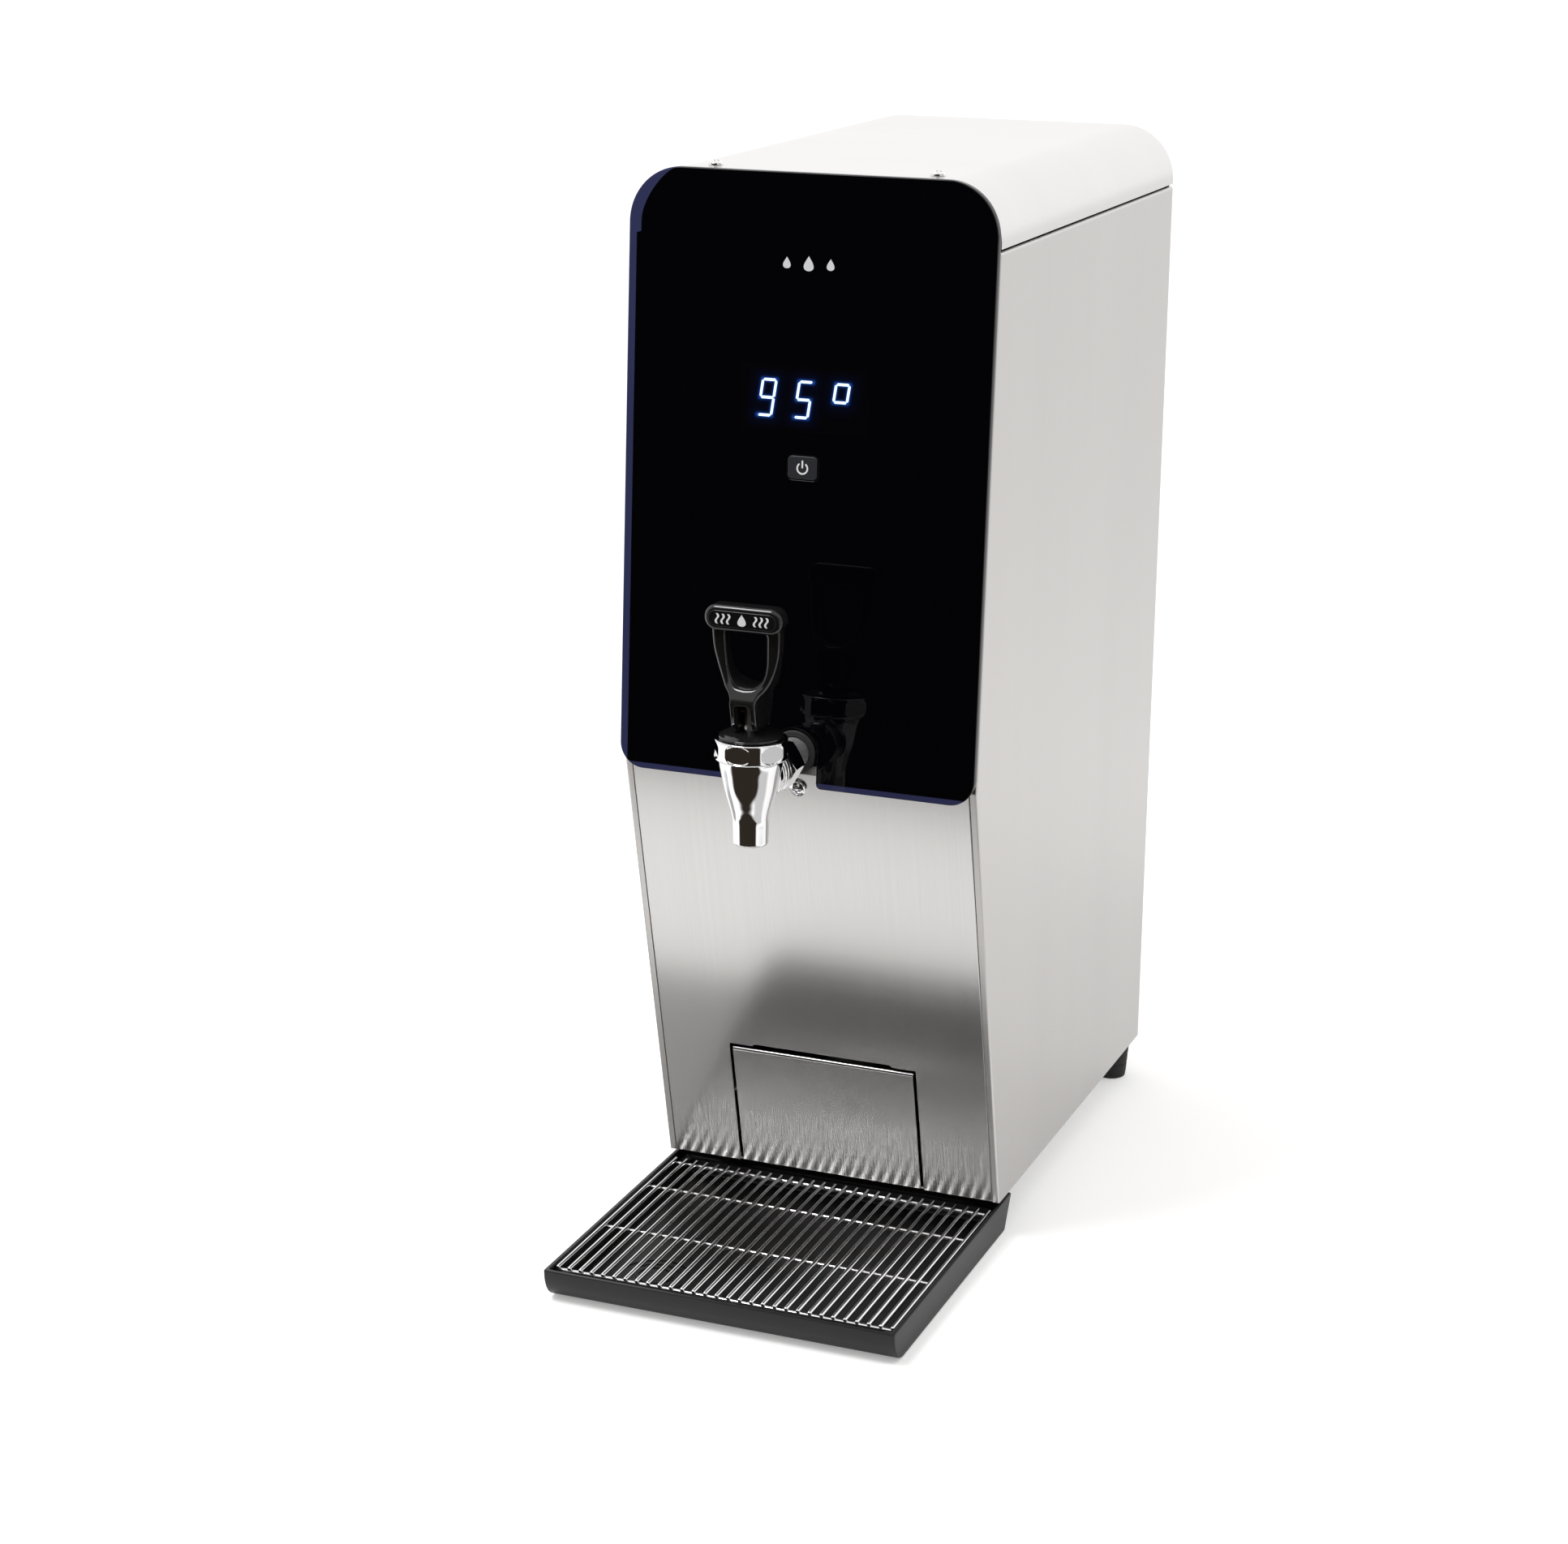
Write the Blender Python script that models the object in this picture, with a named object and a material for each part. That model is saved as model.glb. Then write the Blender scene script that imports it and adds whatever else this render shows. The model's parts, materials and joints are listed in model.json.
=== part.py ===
"""Countertop hot water dispenser: a narrow steel cabinet, a glass fascia, a lever tap and a drip tray.

The machine stands on z = 0, x = 0 is its middle plane and its front faces -Y. Lengths are in metres.
"""

import math

import bmesh
import bpy
from mathutils import Matrix, Vector

# Cabinet
WIDTH = 0.2100
HALF = WIDTH / 2
LID_TOP = 0.6164
LID_RADIUS = 0.0324
SEAM_Z = 0.5815
UNDERSIDE = 0.0235
SHEET = 0.0012
FLANGE = 0.0040
GAP = 0.0004
BODY_DEPTH = 0.3527
TRAY_REACH = 0.1160
FITTING_REACH = 0.0170
FRONT_Y = TRAY_REACH - (TRAY_REACH + BODY_DEPTH + FITTING_REACH) / 2
BACK_Y = FRONT_Y + BODY_DEPTH

# The front leans back above the bend and recedes below it
BEND_Z = 0.2905
LEAN = 0.064
RECESS = 0.2273
TONGUE_TOP = 0.2955

# Glass fascia
FASCIA_BOTTOM = 0.2844
FASCIA_TOP = 0.6170
FASCIA_FRONT = -0.0060
FASCIA_BACK = -0.0003
FASCIA_TOP_RADIUS = 0.0300
FASCIA_BOTTOM_RADIUS = 0.0140
SLOT_HALF = 0.0135

# Display and button, behind and in the fascia
DISPLAY_Z = 0.4975
BUTTON_Z = 0.4610
BUTTON_SIZE = (0.0170, 0.0125)

# Access panel in the lower front
HATCH_HALF = 0.0583
HATCH_TOP = 0.1060
FINGER_HALF = 0.0435
FINGER_TOP = 0.1074
HATCH_GAP = 0.0011

# Tap
TAP_Y = FRONT_Y - 0.0665
SHANK_Z = 0.3035
SHANK_RADIUS = 0.0089
SPOUT_Z = 0.2695
COLLAR_Z = (0.3175, 0.3290)
PIN_Z = 0.3430
PIN_RADIUS = 0.0015
HANDLE_TOP = 0.4025

# Tank
TANK_Y = FRONT_Y + 0.1870
TANK_RADIUS = 0.0800
TANK_Z = (0.2500, 0.5100)

# Rear vents, water inlet, mains gland and overflow
VENT_X = 0.0400
VENT_HALF = 0.0240
VENT_ROWS = 7
VENT_Z = 0.4200
VENT_PITCH = 0.0120
INLET = (0.0450, BACK_Y, 0.0800)
GLAND = (-0.0450, BACK_Y, 0.0800)
OVERFLOW_XY = (-0.0700, FRONT_Y + 0.3050)

# Screws that show
LID_SCREW_X = 0.0636
LID_SCREW_DEPTH = 0.0350
PANEL_SCREW_Z = 0.2815

# Drip tray and grille
TRAY_HALF = 0.1045
TRAY_TOP = 0.0200
TRAY_BOTTOM = 0.0010
TRAY_REAR = 0.0860
GRILLE_HALF = 0.0995
GRILLE_WIRES = 30
GRILLE_FRONT = -0.1070
GRILLE_REAR = 0.0585
GRILLE_Z = 0.0183
WIRE_RADIUS = 0.0014
CROSS_WIRES = (-0.1050, -0.0430, 0.0180, 0.0560)

# Feet
FOOT_X = (0.0800, 0.0920)
FOOT_DEPTH = (0.1020, 0.3360)

STEEL = (0.62, 0.61, 0.60)
FINISHES = {
    "brushed_steel": (STEEL, 1.0, 0.35),
    "glass_black": ((0.004, 0.004, 0.006), 0.0, 0.05),
    "chrome": ((0.85, 0.85, 0.86), 1.0, 0.05),
    "steel_dark": ((0.30, 0.30, 0.31), 1.0, 0.40),
    "plastic_black": ((0.015, 0.015, 0.016), 0.0, 0.30),
    "tray_black": ((0.040, 0.040, 0.042), 0.0, 0.45),
    "rubber_black": ((0.020, 0.020, 0.020), 0.0, 0.80),
    "button_grey": ((0.060, 0.060, 0.065), 0.0, 0.40),
    "label_black": ((0.010, 0.010, 0.011), 0.0, 0.25),
    "display": ((0.10, 0.12, 0.16), 0.0, 0.30),
    "silicone": ((0.75, 0.72, 0.68), 0.0, 0.60),
    "insulation": ((0.25, 0.25, 0.26), 0.0, 0.95),
    "board_green": ((0.02, 0.16, 0.07), 0.0, 0.50),
    "brass": ((0.72, 0.53, 0.25), 1.0, 0.30),
    "valve_white": ((0.80, 0.80, 0.78), 0.0, 0.45),
}


def upper_front(z):
    return FRONT_Y + LEAN * (z - BEND_Z)


def lower_front(z):
    return FRONT_Y + RECESS * (BEND_Z - z)


def along_x(u, v, d):
    return Vector((d, u, v))


def along_y(u, v, d):
    return Vector((u, d, v))


def along_z(u, v, d):
    return Vector((u, v, d))


def on_upper_front(u, v, d):
    return Vector((u, upper_front(v) + d, v))


def on_lower_front(u, v, d):
    return Vector((u, lower_front(v) + d, v))


def clear_scene():
    for obj in list(bpy.data.objects):
        bpy.data.objects.remove(obj, do_unlink=True)


def make_materials():
    for name, (color, metallic, roughness) in FINISHES.items():
        material = bpy.data.materials.new(name)
        material.use_nodes = True
        shader = material.node_tree.nodes["Principled BSDF"]
        shader.inputs["Base Color"].default_value = (*color, 1.0)
        shader.inputs["Metallic"].default_value = metallic
        shader.inputs["Roughness"].default_value = roughness


def place(name, data, finish, location=(0, 0, 0), direction=None):
    """Links an object; direction is where its local +Z points."""
    obj = bpy.data.objects.new(name, data)
    obj.data.materials.append(bpy.data.materials[finish])
    obj.location = location
    if direction is not None:
        obj.rotation_euler = Vector(direction).to_track_quat("Z", "Y").to_euler()
    bpy.context.scene.collection.objects.link(obj)
    return obj


def pivot(name, location, *pieces):
    """An empty on a joint's axis, with its moving pieces parented to it."""
    empty = bpy.data.objects.new(name, None)
    empty.location = location
    bpy.context.scene.collection.objects.link(empty)
    for piece in pieces:
        piece.parent = empty
        piece.matrix_parent_inverse = Matrix.Translation(-Vector(location))
    return empty


def arc(centre, radius, start, end, steps):
    """Points on a circle from start to end, in degrees, both ends included."""
    angles = [math.radians(start + (end - start) * i / steps) for i in range(steps + 1)]
    return [(centre[0] + radius * math.cos(a), centre[1] + radius * math.sin(a)) for a in angles]


def rounded_box(half, low, high, low_radius, high_radius, steps=4):
    """Outline of a rectangle from -half to half, with one radius at its lower and one at its upper corners."""
    return (
        arc((-half + low_radius, low + low_radius), low_radius, 270, 180, steps)
        + arc((-half + high_radius, high - high_radius), high_radius, 180, 90, steps)
        + arc((half - high_radius, high - high_radius), high_radius, 90, 0, steps)
        + arc((half - low_radius, low + low_radius), low_radius, 0, -90, steps)
    )


def add_prism(bm, outline, low, high, to_world):
    """Adds a closed prism with the outline at two depths."""
    rings = [[bm.verts.new(to_world(u, v, d)) for u, v in outline] for d in (low, high)]
    bm.faces.new(rings[0])
    bm.faces.new(rings[1][::-1])
    count = len(outline)
    for i in range(count):
        j = (i + 1) % count
        bm.faces.new((rings[0][j], rings[0][i], rings[1][i], rings[1][j]))


def mesh_from(bm, name, smooth=False):
    bmesh.ops.recalc_face_normals(bm, faces=bm.faces[:])
    mesh = bpy.data.meshes.new(name)
    bm.to_mesh(mesh)
    bm.free()
    if smooth:
        mesh.shade_smooth()
        mesh.set_sharp_from_angle(angle=math.radians(40))
    return mesh


def prism(name, outline, low, high, to_world, finish):
    bm = bmesh.new()
    add_prism(bm, outline, low, high, to_world)
    return place(name, mesh_from(bm, name), finish)


def box_outline(left, right, bottom, top):
    return [(left, bottom), (right, bottom), (right, top), (left, top)]


def turned_mesh(name, profile, segments=20, ring=False):
    """A profile of (radius, height) points turned about local Z; a ring's profile closes on itself."""
    bm = bmesh.new()
    rows = []
    for radius, height in profile:
        if radius < 1e-6:
            rows.append([bm.verts.new((0, 0, height))] * segments)
            continue
        turns = [2 * math.pi * (i + 0.5) / segments for i in range(segments)]
        rows.append([bm.verts.new((radius * math.cos(t), radius * math.sin(t), height)) for t in turns])
    pairs = list(zip(rows, rows[1:]))
    if ring:
        pairs.append((rows[-1], rows[0]))
    for lower, upper in pairs:
        for i in range(segments):
            j = (i + 1) % segments
            corners = list(dict.fromkeys((lower[i], lower[j], upper[j], upper[i])))
            if len(corners) > 2:
                bm.faces.new(corners)
    return mesh_from(bm, name, smooth=True)


def turned(name, profile, location, finish, direction=None, segments=20, ring=False):
    return place(name, turned_mesh(name, profile, segments, ring), finish, location, direction)


def rod_profile(radius, low, high):
    return [(0, low), (radius, low), (radius, high), (0, high)]


def ring_profile(inner, outer, low, high):
    return [(inner, low), (outer, low), (outer, high), (inner, high)]


def tube(name, points, radius, finish, resolution=1):
    """A round bar along a smooth run of points, with flat ends."""
    curve = bpy.data.curves.new(name, "CURVE")
    curve.dimensions = "3D"
    curve.bevel_depth = radius
    curve.bevel_resolution = resolution
    curve.use_fill_caps = True
    spline = curve.splines.new("POLY")
    spline.points.add(len(points) - 1)
    for point, place_at in zip(spline.points, points):
        point.co = (*place_at, 1.0)
    return place(name, curve, finish)


def rounded_path(corners, radius, steps=4):
    """Points along straight runs, with each inner corner rounded by a quadratic curve."""
    points = [Vector(corners[0])]
    for before, corner, after in zip(corners, corners[1:], corners[2:]):
        corner = Vector(corner)
        start = corner + (Vector(before) - corner).normalized() * radius
        end = corner + (Vector(after) - corner).normalized() * radius
        for i in range(steps + 1):
            t = i / steps
            points.append(start * (1 - t) ** 2 + corner * 2 * t * (1 - t) + end * t**2)
    points.append(Vector(corners[-1]))
    return points


def helix(centre, axis, radius, low, high, turns, per_turn=8):
    """Points along a coil spring about a line through the centre, along +Y or +Z."""
    points = []
    for i in range(int(turns * per_turn) + 1):
        turn = 2 * math.pi * i / per_turn
        height = low + (high - low) * i / (turns * per_turn)
        a = radius * math.cos(turn)
        b = radius * math.sin(turn)
        if axis == "Y":
            points.append((centre[0] + a, height, centre[2] + b))
        else:
            points.append((centre[0] + a, centre[1] + b, height))
    return points


def boolean(target, other, operation):
    """Joins or cuts with another object, which becomes a hidden helper."""
    modifier = target.modifiers.new(other.name, "BOOLEAN")
    modifier.operation = operation
    modifier.object = other
    modifier.solver = "EXACT"
    other.hide_render = True
    other.display_type = "WIRE"


def hollow_with(target, *cutters):
    for cutter in cutters:
        boolean(target, cutter, "DIFFERENCE")


def box_cutter(name, x, y, z):
    """A box-shaped cutter from its limits along each axis."""
    return prism(name, box_outline(x[0], x[1], y[0], y[1]), z[0], z[1], along_z, "steel_dark")


def rod_cutter(name, radius, location, length, direction, segments=12):
    """A round cutter that runs both ways from its place."""
    return turned(name, rod_profile(radius, -length, length), location, "steel_dark", direction, segments)


# ---------------------------------------------------------------- cabinet


def side_panel(name, side):
    """A flat side with a narrow flange folded round the front."""
    top = SEAM_Z - GAP
    outer = [
        (upper_front(top), top),
        (BACK_Y, top),
        (BACK_Y, UNDERSIDE),
        (lower_front(UNDERSIDE), UNDERSIDE),
        (FRONT_Y, BEND_Z),
    ]
    beyond = 0.05
    inner = [
        (upper_front(top + beyond) + SHEET, top + beyond),
        (BACK_Y + beyond, top + beyond),
        (BACK_Y + beyond, UNDERSIDE - beyond),
        (lower_front(UNDERSIDE - beyond) + SHEET, UNDERSIDE - beyond),
        (FRONT_Y + SHEET, BEND_Z),
    ]
    panel = prism(name, outer, side * (HALF - FLANGE), side * HALF, along_x, "brushed_steel")
    near = side * (HALF - FLANGE - 0.01)
    hollow_with(panel, prism(name + "_inside", inner, near, side * (HALF - SHEET), along_x, "steel_dark"))
    return panel


def top_cover():
    """An arched cover whose front edge follows the leaning fascia."""
    low = SEAM_Z + GAP
    outline = []
    for half, radius, order in ((HALF, LID_RADIUS, 1), (HALF - SHEET, LID_RADIUS - SHEET, -1)):
        middle = LID_TOP - LID_RADIUS
        shell = [(-half, low)]
        shell += arc((-half + radius, middle), radius, 180, 90, 6)
        shell += arc((half - radius, middle), radius, 90, 0, 6)
        shell += [(half, low)]
        outline += shell[::order]

    def cover_depth(u, v, d):
        return Vector((u, BACK_Y if d else upper_front(v) + GAP, v))

    cover = prism("top_cover", outline, 0, 1, cover_depth, "brushed_steel")
    for side, word in ((-1, "left"), (1, "right")):
        place_at = (side * LID_SCREW_X, FRONT_Y + LID_SCREW_DEPTH, LID_TOP)
        hollow_with(cover, rod_cutter("top_hole_" + word, 0.0024, place_at, 0.004, None))
        profile = [
            (0, -0.0080),
            (0.0019, -0.0080),
            (0.0019, 0.0003),
            (0.0040, 0.0003),
            (0.0037, 0.0018),
            (0.0022, 0.0027),
            (0, 0.0028),
        ]
        turned("top_cover_screw_" + word, profile, place_at, "chrome", segments=12)


def rear_panel():
    outline = rounded_box(HALF - SHEET - GAP, UNDERSIDE + GAP, LID_TOP - SHEET - GAP, 0.001, 0.0308)
    back = BACK_Y - 0.0015
    panel = prism("rear_panel", outline, back - SHEET, back, along_y, "brushed_steel")
    bm = bmesh.new()
    for column in (-1, 1):
        for row in range(VENT_ROWS):
            x = column * VENT_X
            z = VENT_Z + row * VENT_PITCH
            slot = [(x + u, z + v) for u, v in rounded_box(VENT_HALF, -0.0018, 0.0018, 0.0017, 0.0017, 2)]
            add_prism(bm, slot, back - 0.01, back + 0.01, along_y)
    vents = place("rear_vents", mesh_from(bm, "rear_vents"), "steel_dark")
    inlet_hole = rod_cutter("inlet_hole", 0.0140, INLET, 0.02, (0, 1, 0))
    gland_hole = rod_cutter("gland_hole", 0.0086, GLAND, 0.02, (0, 1, 0))
    hollow_with(panel, vents, inlet_hole, gland_hole)


def base_plate():
    half = HALF - SHEET - GAP
    outline = box_outline(-half, half, FRONT_Y + 0.0632, BACK_Y - 0.0032)
    plate = prism("base_plate", outline, UNDERSIDE, UNDERSIDE + SHEET, along_z, "brushed_steel")
    for name, (x, y) in foot_places().items():
        hollow_with(plate, rod_cutter(name + "_hole", 0.0035, (x, y, UNDERSIDE), 0.01, None, 8))
    hollow_with(plate, rod_cutter("overflow_hole", 0.0075, (*OVERFLOW_XY, UNDERSIDE), 0.01, None))


def tank_shelf():
    """The folded shelf that carries the tank between the side panels."""
    half = HALF - SHEET - GAP
    outline = [
        (-half, 0.2250),
        (-half, 0.2480),
        (half, 0.2480),
        (half, 0.2250),
        (half - 0.0015, 0.2250),
        (half - 0.0015, 0.2465),
        (-half + 0.0015, 0.2465),
        (-half + 0.0015, 0.2250),
    ]
    shelf = prism("tank_shelf", outline, TANK_Y - 0.085, TANK_Y + 0.085, along_y, "steel_dark")
    hollow_with(shelf, rod_cutter("shelf_hole", 0.0140, (0, TANK_Y, 0.2470), 0.01, None))


# ---------------------------------------------------------------- front


def front_chassis_plate():
    """The black plate behind the glass, with openings for the shank, display and button."""
    half = HALF - FLANGE - GAP
    outline = rounded_box(half, TONGUE_TOP + GAP, LID_TOP - SHEET - 0.0006, 0.001, 0.0290)
    plate = prism("front_chassis_plate", outline, GAP, GAP + SHEET, on_upper_front, "plastic_black")
    display = box_cutter("display_hole", (-0.032, 0.032), (FRONT_Y - 0.01, FRONT_Y + 0.05),
                         (DISPLAY_Z - 0.0165, DISPLAY_Z + 0.0165))
    button = box_cutter("button_hole", (-0.0092, 0.0092), (FRONT_Y - 0.01, FRONT_Y + 0.05),
                        (BUTTON_Z - 0.0070, BUTTON_Z + 0.0070))
    shank = rod_cutter("chassis_shank_hole", 0.0100, (0, FRONT_Y, SHANK_Z), 0.02, (0, 1, 0), 16)
    hollow_with(plate, display, button, shank)


def front_fascia():
    """The thick glass front, with an open slot at its foot for the tap's shank."""
    fillet = 0.0030
    slot_corner = (SLOT_HALF + fillet, FASCIA_BOTTOM + fillet)
    outline = (
        arc((-slot_corner[0], slot_corner[1]), fillet, 0, -90, 2)
        + rounded_box(HALF, FASCIA_BOTTOM, FASCIA_TOP, FASCIA_BOTTOM_RADIUS, FASCIA_TOP_RADIUS, 6)
        + arc(slot_corner, fillet, 270, 180, 2)
        + arc((0, SHANK_Z), SLOT_HALF, 0, 180, 10)
    )
    glass = prism("front_fascia", outline, FASCIA_FRONT, FASCIA_BACK, on_upper_front, "glass_black")
    low = BUTTON_Z - BUTTON_SIZE[1] / 2 - GAP
    high = BUTTON_Z + BUTTON_SIZE[1] / 2 + GAP
    window = rounded_box(BUTTON_SIZE[0] / 2 + GAP, low, high, 0.0026, 0.0026, 3)
    hollow_with(glass, prism("button_window", window, -0.02, 0.02, on_upper_front, "steel_dark"))


def lower_front_panel():
    """The receding steel front, with a short tongue that stands up behind the glass."""
    face = [(lower_front(UNDERSIDE + 0.0003), UNDERSIDE + 0.0003), (FRONT_Y, BEND_Z),
            (upper_front(TONGUE_TOP), TONGUE_TOP)]
    outline = face + [(y + SHEET, z) for y, z in face[::-1]]
    half = HALF - FLANGE - GAP
    panel = prism("lower_front_panel", outline, -half, half, along_x, "brushed_steel")
    notch = [
        (-HATCH_HALF, 0),
        (-HATCH_HALF, HATCH_TOP),
        (-FINGER_HALF, HATCH_TOP),
        (-FINGER_HALF + 0.001, FINGER_TOP),
        (FINGER_HALF - 0.001, FINGER_TOP),
        (FINGER_HALF, HATCH_TOP),
        (HATCH_HALF, HATCH_TOP),
        (HATCH_HALF, 0),
    ]
    opening = prism("hatch_opening", notch, -0.02, 0.02, on_lower_front, "steel_dark")
    outward = Vector((0, -1, -RECESS)).normalized()
    screw_at = Vector((0, lower_front(PANEL_SCREW_Z), PANEL_SCREW_Z))
    screw_hole = rod_cutter("panel_screw_hole", 0.0030, screw_at, 0.01, outward, 8)
    shank = rod_cutter("panel_shank_hole", 0.0100, (0, FRONT_Y, SHANK_Z), 0.02, (0, 1, 0), 16)
    hollow_with(panel, opening, screw_hole, shank)
    profile = [
        (0, -0.0090),
        (0.0024, -0.0090),
        (0.0024, 0.0003),
        (0.0050, 0.0003),
        (0.0047, 0.0022),
        (0.0030, 0.0033),
        (0, 0.0036),
    ]
    turned("lower_panel_screw", profile, screw_at, "chrome", outward, 12)


def access_panel():
    """The drop-down service panel, with a return along its top edge."""
    low = UNDERSIDE + 0.0011
    top = HATCH_TOP - HATCH_GAP
    face = [(lower_front(low), low), (lower_front(top), top)]
    lip = (lower_front(top) + 0.0080, top)
    under = (lower_front(top) + 0.0080, top - SHEET)
    back = [(lower_front(top - SHEET) + SHEET, top - SHEET), (lower_front(low) + SHEET, low)]
    outline = face + [lip, under] + back
    half = HATCH_HALF - HATCH_GAP
    panel = prism("access_panel", outline, -half, half, along_x, "brushed_steel")
    pivot("access_panel_pivot", (0, lower_front(low) + SHEET / 2, low), panel)


def display_and_button():
    """Display block, its board, the power button and the button's return spring."""
    box = box_outline(-0.0310, 0.0310, DISPLAY_Z - 0.0155, DISPLAY_Z + 0.0155)
    prism("display_module", box, 0.0002, 0.0088, on_upper_front, "display")
    prism("control_board", box_outline(-0.0480, 0.0480, 0.4350, 0.5350), 0.0092, 0.0108, on_upper_front,
          "board_green")
    low = BUTTON_Z - BUTTON_SIZE[1] / 2
    high = BUTTON_Z + BUTTON_SIZE[1] / 2
    cap_outline = rounded_box(BUTTON_SIZE[0] / 2, low, high, 0.0024, 0.0024, 3)
    cap = prism("power_button", cap_outline, FASCIA_FRONT - 0.0002, 0.0040, on_upper_front, "button_grey")
    middle = upper_front(BUTTON_Z)
    pivot("power_button_slide", (0, middle, BUTTON_Z), cap)
    coil = helix((0, 0, BUTTON_Z), "Y", 0.0022, middle + 0.0048, middle + 0.0082, 3, 6)
    tube("button_spring", coil, 0.0003, "chrome", 0)


# ---------------------------------------------------------------- tap


def tap_body():
    """The tapered chrome body with its seat, spout and side inlet."""
    outer = [
        (0.0096, SPOUT_Z),
        (0.0098, 0.2840),
        (0.0104, 0.2865),
        (0.0138, 0.2990),
        (0.0166, 0.3150),
        (0.0166, 0.3170),
        (0.0150, 0.3172),
        (0.0150, 0.3260),
    ]
    inner = [
        (0.0128, 0.3260),
        (0.0120, 0.3120),
        (0.0095, 0.2920),
        (0.0062, 0.2920),
        (0.0062, SPOUT_Z),
    ]
    body = turned("tap_body", outer + inner, (0, TAP_Y, 0), "chrome", segments=24, ring=True)
    boss_front = 0.0110
    boss_back = 0.0285
    boss = turned("tap_boss", rod_profile(0.0128, boss_front, boss_back), (0, TAP_Y, SHANK_Z), "chrome",
                  (0, 1, 0), 20)
    way = turned("tap_way", rod_profile(0.0065, 0.0060, 0.0300), (0, TAP_Y, SHANK_Z), "steel_dark", (0, 1, 0), 12)
    boolean(body, boss, "UNION")
    hollow_with(body, way)
    low, high = COLLAR_Z
    collar = [(0.0154, low), (0.0190, low), (0.0200, low + 0.0012), (0.0200, high - 0.0010),
              (0.0192, high), (0.0154, high)]
    turned("tap_collar", collar, (0, TAP_Y, 0), "chrome", segments=24, ring=True)
    bonnet = [
        (0.0040, 0.3180),
        (0.0116, 0.3180),
        (0.0120, 0.3264),
        (0.0150, 0.3294),
        (0.0184, 0.3294),
        (0.0184, 0.3318),
        (0.0165, 0.3336),
        (0.0040, 0.3336),
    ]
    turned("tap_bonnet", bonnet, (0, TAP_Y, 0), "plastic_black", segments=24, ring=True)


def tap_stem():
    """The stem, its silicone seat cup, its return spring and the pin that the handle turns on."""
    profile = [
        (0, 0.2980),
        (0.0075, 0.2980),
        (0.0075, 0.2996),
        (0.0035, 0.3000),
        (0.0035, PIN_Z + 0.0040),
        (0, PIN_Z + 0.0040),
    ]
    stem = turned("tap_stem", profile, (0, TAP_Y, 0), "steel_dark", segments=12)
    pin_at = (0, TAP_Y, PIN_Z)
    hollow_with(stem, rod_cutter("stem_pin_hole", PIN_RADIUS + 0.0003, pin_at, 0.01, (1, 0, 0), 8))
    cup_profile = [(0, 0.2924), (0.0080, 0.2924), (0.0086, 0.2950), (0.0070, 0.2977), (0, 0.2977)]
    cup = turned("tap_seat_cup", cup_profile, (0, TAP_Y, 0), "silicone", segments=16)
    pin = turned("tap_handle_pin", rod_profile(PIN_RADIUS, -0.0070, 0.0070), pin_at, "chrome", (1, 0, 0), 8)
    pivot("tap_stem_slide", (0, TAP_Y, 0.2980), stem, cup, pin)
    coil = helix((0, TAP_Y, 0), "Z", 0.0056, 0.3006, 0.3172, 5)
    tube("tap_spring", coil, 0.0005, "chrome", 0)


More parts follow.
